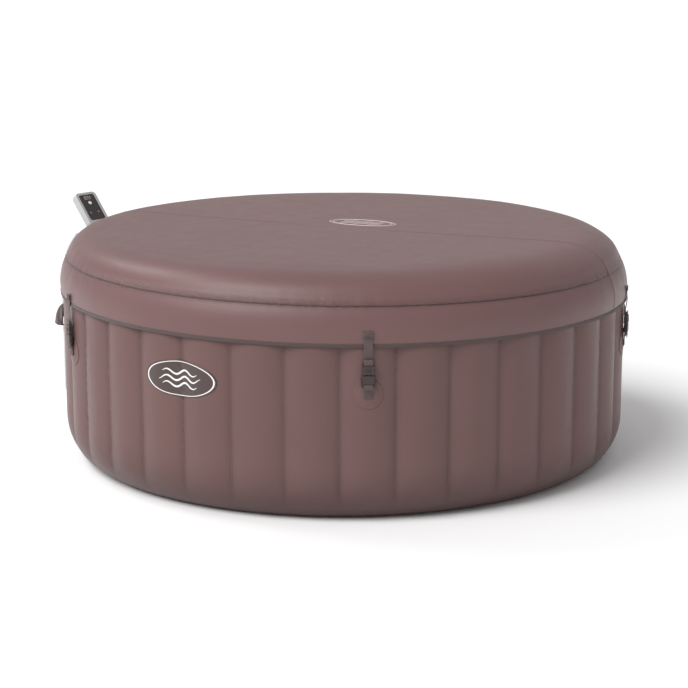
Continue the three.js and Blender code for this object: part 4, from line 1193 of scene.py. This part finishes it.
def make_tether(azimuth, number):
    """Short webbing from the plug's bar to the patch, sewn down with a box stitch."""
    bar = PLUG_LOW + 0.002
    end = (TUB_RADIUS + 0.0044, PATCH_Z - 0.014)
    path = hook_path(end, (TUB_RADIUS + 0.0046, PATCH_Z + 0.004), bar, -1)
    strap = band("tether", path, WEB_WIDTH, WEB_THICKNESS, azimuth)
    piece = join_pieces(f"tether_strap_{number}", [strap])
    finish_piece(piece, "webbing", replaces=(f"buckle_tether_{number}",))
    box_stitches(f"tether_stitches_{number}", azimuth, PATCH_Z - 0.006, TUB_RADIUS + 0.0056, 0.020, 0.011,
                 "tub")


def make_straps():
    """Strap, socket, plug, patch and tether at each of the five places."""
    for number in range(1, STRAPS + 1):
        azimuth = (number - 1) * STRAP_STEP
        make_cover_strap(azimuth, number)
        make_socket(azimuth, number)
        make_plug(azimuth, number)
        make_patch(azimuth, number)
        make_tether(azimuth, number)


# ------------------------------------------------------------------ handles and badge


def make_handle(azimuth, name, node):
    """Carry handle: a hood like a quarter of an egg, open below, on a welded oval flange."""
    reach, rise, half = 0.0335, 0.060, 0.080
    turn = np.linspace(0, math.pi, 49)[None, :]
    lean = np.linspace(0, math.pi / 2, 22)[:, None]
    across = half * np.cos(turn) * np.cos(lean) ** 0.85
    outward = TUB_RADIUS - 0.001 + reach * np.sin(turn) ** 0.8 * np.cos(lean) ** 0.9
    up = HANDLE_Z + rise * np.sin(lean) * np.ones_like(turn)
    hood = surface("hood", place(azimuth, across, outward, up))
    thicken(hood, 0.0045)
    lip_turn = np.linspace(0, math.pi, 49)
    lip = np.stack([half * np.cos(lip_turn), TUB_RADIUS - 0.001 + reach * np.sin(lip_turn) ** 0.8], axis=-1)
    ring = np.linspace(0, TAU, 12, endpoint=False)[:, None]
    side = place(azimuth, lip[:, 0] * (1 + 0.02 * np.cos(ring)), lip[:, 1] - 0.0015 + 0.0028 * np.cos(ring),
                 HANDLE_Z + 0.0024 + 0.0028 * np.sin(ring))
    edge = surface("edge", side, close_rows=True)
    share = np.array([0, 0.5, 0.9, 0.97, 1.0, 1.0, 0.5, 0])
    lift = np.array([2.2, 2.2, 2.0, 1.6, 0.8, -0.6, -0.6, -0.6]) / 1000
    spin = np.linspace(0, TAU, 96, endpoint=False)
    wide = np.sign(np.sin(spin)) * np.abs(np.sin(spin)) ** 0.7 * 0.093
    tall = np.sign(np.cos(spin)) * np.abs(np.cos(spin)) ** 0.7 * 0.042
    flange = surface("flange", on_wall(azimuth, share[:, None] * wide,
                                       HANDLE_Z + 0.030 + share[:, None] * tall,
                                       lift[:, None]), close_columns=True)
    piece = join_pieces(name, [hood, edge, flange])
    finish_piece(piece, "handle_vinyl", replaces=(node,))


def badge_face(name, scale_in, scale_out, low, high, steps=3):
    """Oval ring or disc on the wall between two scales of the badge's outline, closed at the back."""
    share = np.concatenate([np.linspace(scale_in, scale_out, steps), np.linspace(scale_out, scale_in, steps)])
    lift = np.concatenate([np.full(steps, high), np.full(steps, low)])
    turn = np.linspace(0, TAU, 144, endpoint=False)
    across = share[:, None] * BADGE_HALF[0] * np.sin(turn)
    height = BADGE_Z + share[:, None] * BADGE_HALF[1] * np.cos(turn)
    points = on_badge(across, height, lift[:, None])
    piece = surface(name, points, close_rows=scale_in > 0, close_columns=True)
    return piece


def on_badge(across, height, lift):
    """The badge follows the ribs but bridges the sharp weld strip between them."""
    across, height, lift = np.broadcast_arrays(across, height, lift)
    spot = BADGE_AZIMUTH + across / TUB_RADIUS
    fill = 0.0035 * np.exp(-(groove_distance(spot) / 0.014) ** 2)
    return polar(wall_radius(spot, height) + fill + lift, spot, height)


def make_badge():
    """Oval badge: dark field, white border and three white waves, no lettering."""
    field = badge_face("badge_field", 0.0, 1.0, -0.0005, 0.0016, 24)
    finish_piece(field, "badge_vinyl", replaces=("wall_badge",))
    border = badge_face("badge_border", 0.915, 0.955, 0.001, 0.0021)
    finish_piece(border, "print_white")
    pieces = []
    for offset, reach in ((0.020, 0.066), (0.0, 0.080), (-0.020, 0.066)):
        along = np.linspace(-reach, reach, 70)
        wave = offset + 0.0075 * np.sin(along * 95)
        slope = 0.0075 * 95 * np.cos(along * 95)
        taper = 0.0031 * np.clip(np.cos(along / reach * math.pi / 2), 0.0, 1.0) ** 0.5
        edge = np.array([(-1, 0.001), (-1, 0.0021), (1, 0.0021), (1, 0.001)])
        across = along[:, None] - edge[:, 0] * (taper * slope / np.hypot(1, slope))[:, None]
        height = BADGE_Z + wave[:, None] + edge[:, 0] * (taper / np.hypot(1, slope))[:, None]
        points = on_badge(across, height, np.broadcast_to(edge[:, 1], across.shape))
        pieces.append(surface("wave", points, close_columns=True))
    waves_piece = join_pieces("badge_waves", pieces)
    finish_piece(waves_piece, "print_white")


# ------------------------------------------------------------------ fittings, pipes and valves


def flange_fitting(name, node, azimuth, height, bore, outer_only=False):
    """Wall fitting: a tube with a rounded flange outside, and one inside unless it stops in the wall."""
    tube = bore + 0.005
    wide = tube + (0.016 if outer_only else 0.020)
    near = TUB_RADIUS - 0.045 if outer_only else INNER_RADIUS - 0.009
    face = TUB_RADIUS + 0.0004
    profile = [(bore, near), (tube if outer_only else wide - 0.002, near)]
    if not outer_only:
        profile += [(wide, near + 0.002), (wide, near + 0.0055), (tube, near + 0.006)]
    profile += [(tube, face), (wide, face), (wide, face + 0.004), (wide - 0.002, face + 0.006),
                (bore + 0.002, face + 0.006), (bore, face + 0.005), (bore, near)]
    piece = turned(name, azimuth, height, profile, 64)
    finish_piece(piece, SLOT_OF[node], replaces=(node,))


def make_pipe(name, node, height, bore, end, corrugated=False):
    """Pipe to the pump unit with a ridged union nut beside the wall."""
    start = TUB_RADIUS + 0.0068
    nut = start + 0.026
    tube = bore + 0.005
    run = np.linspace(nut, end, 40)
    outside = tube + (0.0014 * np.sin(run * 900) if corrugated else 0.0 * run)
    profile = [(bore, start), (tube + 0.008, start), (tube + 0.009, start + 0.002),
               (tube + 0.009, nut - 0.002),
               (tube + 0.007, nut)]
    profile += list(zip(outside, run)) + [(bore, end), (bore, start)]
    body = turned("pipe", PUMP_AZIMUTH, height, profile, 48)
    ridges = []
    for i in range(16):
        turn = i * TAU / 16
        centre = ((tube + 0.009) * math.sin(turn), height + (tube + 0.009) * math.cos(turn))
        ridges.append(plate("ridge", [rounded(0.004, 0.004, 0.0015, centre, 2)], start + 0.003, nut - 0.003,
                            at(PUMP_AZIMUTH)))
    piece = join_pieces(name, [body] + ridges)
    finish_piece(piece, "pipe_plastic", replaces=(node,))


def make_cap(name, node, body, azimuth, height):
    """Screw cap: ribbed rim, dished face and a finger bar."""
    radius = 0.033
    near = TUB_RADIUS + 0.0068
    far = near + 0.018
    profile = [(0, far - 0.004), (radius - 0.004, far - 0.003), (radius - 0.003, near), (radius, near),
               (radius, far - 0.003), (radius - 0.003, far), (radius - 0.007, far),
               (radius - 0.010, far - 0.0015), (0, far - 0.0015)]
    shell = turned("shell", azimuth, height, profile, 60)
    bar = plate("bar", [rounded(0.050, 0.006, 0.0028, (0, height))], far - 0.002, far + 0.005,
                at(azimuth), 0.001)
    piece = join_pieces(name, [shell, bar])
    finish_piece(piece, "buckle_nylon", body, replaces=(node,))


def make_filter():
    """Filter pot inside the tub with a pleated cartridge and a bayonet cap."""
    far = INNER_RADIUS - 0.0094
    near = far - 0.080
    pot = turned("filter_pot", PUMP_AZIMUTH, INTAKE_Z, [
        (0.056, near), (0.059, near), (0.059, far), (0.022, far), (0.022, far - 0.004),
        (0.056, far - 0.004), (0.056, near)], 72)
    finish_piece(pot, "light_grey_plastic", replaces=("filter_housing",))
    turn = np.linspace(0, TAU, 288, endpoint=False)
    pleat = 0.0022 * np.abs(((turn * 72 / TAU) % 1) - 0.5) * 4 - 0.0022
    radius = np.array([0.0225, 0.054, 0.054, 0.0225])[:, None] + np.array([0, 1, 1, 0])[:, None] * pleat
    outward = np.array([near + 0.006, near + 0.006, far - 0.005, far - 0.005])[:, None]
    cartridge = surface("cartridge", place(PUMP_AZIMUTH, radius * np.sin(turn), outward,
                                           INTAKE_Z + radius * np.cos(turn)),
                        close_rows=True, close_columns=True)
    finish_piece(cartridge, "filter_paper", replaces=("filter_cartridge",))
    base = near - 0.0004
    lid = turned("lid", PUMP_AZIMUTH, INTAKE_Z, [
        (0, base - 0.006), (0.050, base - 0.006), (0.060, base - 0.004), (0.062, base - 0.002), (0.062, base),
        (0.0546, base), (0.0546, base + 0.003), (0, base + 0.003)], 72)
    grip = plate("grip", [rounded(0.082, 0.010, 0.004, (0, INTAKE_Z))], base - 0.016, base - 0.005,
                 at(PUMP_AZIMUTH), 0.002)
    cap = join_pieces("filter_lid", [lid, grip])
    finish_piece(cap, "light_grey_plastic", "filter_cap", replaces=("filter_cap",))


def make_screen():
    """Outlet grille: a disc with rounded edges and four slots."""
    face = INNER_RADIUS - 0.0094
    outline = [(0.033 * math.sin(t), OUTLET_Z + 0.033 * math.cos(t))
               for t in np.linspace(0, TAU, 48, endpoint=False)]
    slots = [rounded(0.005, 0.040 - abs(x) * 0.6, 0.0024, (x, OUTLET_Z), 4)
             for x in (-0.015, -0.005, 0.005, 0.015)]
    piece = plate("outlet_grille", [outline] + slots, face - 0.008, face, at(PUMP_AZIMUTH), 0.001)
    finish_piece(piece, "light_grey_plastic", replaces=("outlet_screen",))


SLOT_OF = {part["node"]: part["material_slot"] for part in frame["record"]["subparts"]}


def make_fittings():
    """Fittings through the wall, pipes, caps, filter and outlet screen."""
    flange_fitting("intake_flange", "intake_fitting", PUMP_AZIMUTH, INTAKE_Z, 0.022)
    flange_fitting("outlet_flange", "outlet_fitting", PUMP_AZIMUTH, OUTLET_Z, 0.022)
    flange_fitting("air_flange", "air_fitting", PUMP_AZIMUTH, AIR_Z, 0.009, True)
    flange_fitting("wall_valve", "tub_air_valve", VALVE_AZIMUTH, VALVE_Z, 0.012, True)
    flange_fitting("drain_flange", "drain_valve", DRAIN_AZIMUTH, DRAIN_Z, 0.012)
    make_cap("wall_valve_cap", "tub_valve_cap", "tub_valve_cap", VALVE_AZIMUTH, VALVE_Z)
    make_cap("drain_screw_cap", "drain_cap", "drain_cap", DRAIN_AZIMUTH, DRAIN_Z)
    water_end = PUMP_FRONT + 0.045 - 0.0004
    make_pipe("intake_hose", "intake_pipe", INTAKE_Z, 0.022, water_end)
    make_pipe("outlet_hose", "outlet_pipe", OUTLET_Z, 0.022, water_end)
    make_pipe("air_hose_run", "air_hose", AIR_Z, 0.009, PUMP_MIDDLE - 0.073, True)
    make_filter()
    make_screen()


# ------------------------------------------------------------------ pump and heater unit


def pump_section(z):
    """Share of the full outline at a height: drawn in at the foot, rounded over at the top."""
    foot = 0.94 + 0.06 * smoothstep(z, 0.0, 0.020)
    start = PUMP_TOP - DOME_RISE
    rise = np.clip((z - start) / DOME_RISE, 0, 1)
    return foot * (1 - 0.38 * rise**3.2)


def pump_skin(name, levels, cap_low, cap_high):
    """Upright shell: superellipse outlines stacked by height, with the ends drawn to a point where closed."""
    turn = np.linspace(0, TAU, 144, endpoint=False)[None, :]
    levels = np.array(levels)[:, None]
    share = pump_section(levels)
    power = 2 / 2.7
    across = np.sign(np.cos(turn)) * np.abs(np.cos(turn)) ** power * PUMP_WIDTH / 2
    depth = np.sign(np.sin(turn)) * np.abs(np.sin(turn)) ** power * PUMP_DEPTH / 2
    rows = [np.stack(np.broadcast_arrays(share * across, share * depth, levels), axis=-1)]
    for wanted, where, at_start in ((cap_low, levels[0], True), (cap_high, levels[-1], False)):
        if not wanted:
            continue
        edge = rows[0][0 if at_start else -1]
        fan = np.array([0.97, 0.7, 0.35, 0.0])[:, None, None]
        level = np.full((4, edge.shape[0], 1), float(where[0]))
        closing = np.concatenate([edge[None, :, :2] * fan, level], axis=-1)
        rows[0] = np.concatenate([closing[::-1], rows[0]] if at_start else [rows[0], closing])
    local = rows[0]
    points = place(PUMP_AZIMUTH, local[..., 0], PUMP_MIDDLE + local[..., 1], local[..., 2])
    return surface(name, points, close_columns=True)


def make_pump():
    """Pump unit: lower and upper shells, louvres and the power gland."""
    lower = pump_skin("lower", np.concatenate([np.linspace(0.0005, 0.022, 8),
                                               np.linspace(0.03, PUMP_SPLIT - 0.001, 12)]),
                      True, False)
    thicken(lower, 0.0035)
    lip = pump_skin("lip", [PUMP_SPLIT - 0.006, PUMP_SPLIT - 0.0005], False, False)
    thicken(lip, 0.005)
    piece = join_pieces("pump_base", [lower, lip])
    finish_piece(piece, "light_grey_plastic", replaces=("pump_lower_shell",))
    start = PUMP_TOP - DOME_RISE
    upper = pump_skin("upper", np.concatenate([np.linspace(PUMP_SPLIT + 0.0012, start, 16),
                                               start + DOME_RISE * np.linspace(0.06, 1, 26) ** 0.8]), False,
                                               True)
    thicken(upper, 0.0035)
    louvres = [louvre(side, row) for side in (-1, 1) for row in range(9)]
    piece = join_pieces("pump_hood", [upper] + louvres)
    finish_piece(piece, "light_grey_plastic", replaces=("pump_upper_shell",))
    back = PUMP_FRONT + PUMP_DEPTH
    gland = turned("cord_gland", PUMP_AZIMUTH, 0.080, [
        (0.005, back - 0.016), (0.0098, back - 0.016), (0.0098, back + 0.0004), (0.016, back + 0.0004),
        (0.016, back + 0.009),
        (0.013, back + 0.014), (0.007, back + 0.014), (0.005, back + 0.012), (0.005, back - 0.016)], 36)
    finish_piece(gland, "buckle_nylon", replaces=("power_gland",))


def louvre(side, row):
    """Cooling slat on the flank of the pump unit."""
    height = 0.330 + row * 0.013
    outline = rounded(0.120, 0.006, 0.0028, (PUMP_MIDDLE, height), 4)
    edge = PUMP_WIDTH / 2 * 0.995

    def shape(outward, depth, up):
        return place(PUMP_AZIMUTH, side * depth, outward, up)
    return plate("louvre", [outline], edge - 0.0045, edge + 0.0022, shape, 0.0009, 2)


def panel_shape(across, depth, up):
    """Panel frame to row frame: depth 0 on its face, growing backwards, leaning back from its foot."""
    outward = PANEL_FOOT[0] + depth * math.cos(PANEL_LEAN) + up * math.sin(PANEL_LEAN)
    height = PANEL_FOOT[1] - depth * math.sin(PANEL_LEAN) + up * math.cos(PANEL_LEAN)
    return place(PUMP_AZIMUTH, -across, outward, height)


def make_panel():
    """Control panel: housing with a recess, dark face film, soft display, touch marks and a round button."""
    width, length, thickness = PANEL_SIZE
    middle = length / 2
    outline = rounded(width, length, 0.016, (0, middle))
    back = plate("back", [outline], 0.0032, thickness, panel_shape, 0.005, 4)
    recess = rounded(0.0778, 0.1128, 0.009, (0, middle + 0.004))
    front = plate("front", [outline, recess], 0.0, 0.0065, panel_shape, 0.0012)
    housing = join_pieces("panel_case", [back, front])
    finish_piece(housing, "light_grey_plastic", "control_panel", replaces=("panel_housing",))
    hole = [(0.0074 * math.sin(t), 0.094 + 0.0074 * math.cos(t))
            for t in np.linspace(0, TAU, 40, endpoint=False)]
    film = plate("panel_film", [rounded(0.077, 0.112, 0.009, (0, middle + 0.004)), hole],
                 0.0006, 0.0030, panel_shape, 0.0004, 2)
    finish_piece(film, "panel_gloss", "control_panel", replaces=("panel_face",))
    marks = [plate("display", [rounded(0.030, 0.013, 0.002, (0, 0.117)),
                               rounded(0.0275, 0.0105, 0.0015, (0, 0.117))],
                   0.0002, 0.0008, panel_shape)]
    marks += [plate("bar", [rounded(0.006, 0.0022, 0.001, (x, 0.117), 3)], 0.0002, 0.0008, panel_shape)
              for x in (-0.008, 0, 0.008)]
    for x in (-0.020, 0.020):
        for z in (0.052,):
            circle = [(x + 0.004 * math.sin(t), z + 0.004 * math.cos(t)) for t in np.linspace(0, TAU, 28,
                                                                                              endpoint=False)]
            inner = [(x + 0.0034 * math.sin(t), z + 0.0034 * math.cos(t)) for t in np.linspace(0, TAU, 28,
                                                                                               endpoint=False)]
            marks.append(plate("touch", [circle, inner], 0.0002, 0.0008, panel_shape))
    finish_piece(join_pieces("panel_marks", marks), "print_soft", "control_panel")
    disc = [(0.007 * math.sin(t), 0.094 + 0.007 * math.cos(t))
            for t in np.linspace(0, TAU, 40, endpoint=False)]
    button = plate("round_button", [disc], -0.0015, 0.0095, panel_shape, 0.0009)
    finish_piece(button, "white_plastic", "power_button", replaces=("power_button",))
    make_neck()


def make_neck():
    """Swivel foot: a turntable disc with a short stalk up to the back of the panel."""
    low = PUMP_TOP + 0.0005
    centre = PANEL_FOOT[0] + 0.012
    turn = np.linspace(0, TAU, 64, endpoint=False)[None, :]
    radius = np.array([0, 0.037, 0.038, 0.038, 0.036, 0.026, 0.0245, 0.024, 0.0])[:, None]
    steps = [low, low, low + 0.001, low + 0.006, low + 0.0085, low + 0.0085, low + 0.012, low + 0.018,
             low + 0.018]
    height = np.array(steps)[:, None]
    across = radius * np.cos(turn)
    points = place(PUMP_AZIMUTH, across, centre + radius * np.sin(turn), height * np.ones_like(turn))
    disc = surface("disc", points, close_columns=True)
    foot_ring = place(PUMP_AZIMUTH, 0.021 * np.cos(turn), PANEL_FOOT[0] + 0.021 + 0.014 * np.sin(turn),
                      low + 0.008)
    back_ring = panel_shape(0.020 * np.cos(turn), PANEL_SIZE[2] - 0.001, 0.021 + 0.018 * np.sin(turn))
    share = np.linspace(0, 1, 9)[:, None, None]
    column = foot_ring * (1 - share) + back_ring * share
    ends = [np.broadcast_to(ring.mean(axis=1, keepdims=True), ring.shape) for ring in (foot_ring, back_ring)]
    stalk = surface("stalk", np.concatenate([ends[0], column, ends[1]]), close_columns=True)
    piece = join_pieces("panel_foot", [disc, stalk])
    finish_piece(piece, "light_grey_plastic", "control_panel", replaces=("panel_neck",))


# ------------------------------------------------------------------ the whole object


def dress_cad_nodes():
    """The works that stay as the frame holds them get the finish of their slot."""
    for node, piece in frame["nodes"].items():
        piece.data.materials.clear()
        piece.data.materials.append(MATERIALS[SLOT_OF[node]])


make_camera()
make_studio()
dress_cad_nodes()
make_chamber()
make_floor_of_tub()
make_bubble_ring()
make_cover()
make_hem()
make_rim_stitches()
make_liner()
make_lid_print()
make_straps()
make_handle(-HANDLE_AZIMUTH, "carry_handle_left", "handle_left")
make_handle(HANDLE_AZIMUTH, "carry_handle_right", "handle_right")
make_badge()
make_fittings()
make_pump()
make_panel()
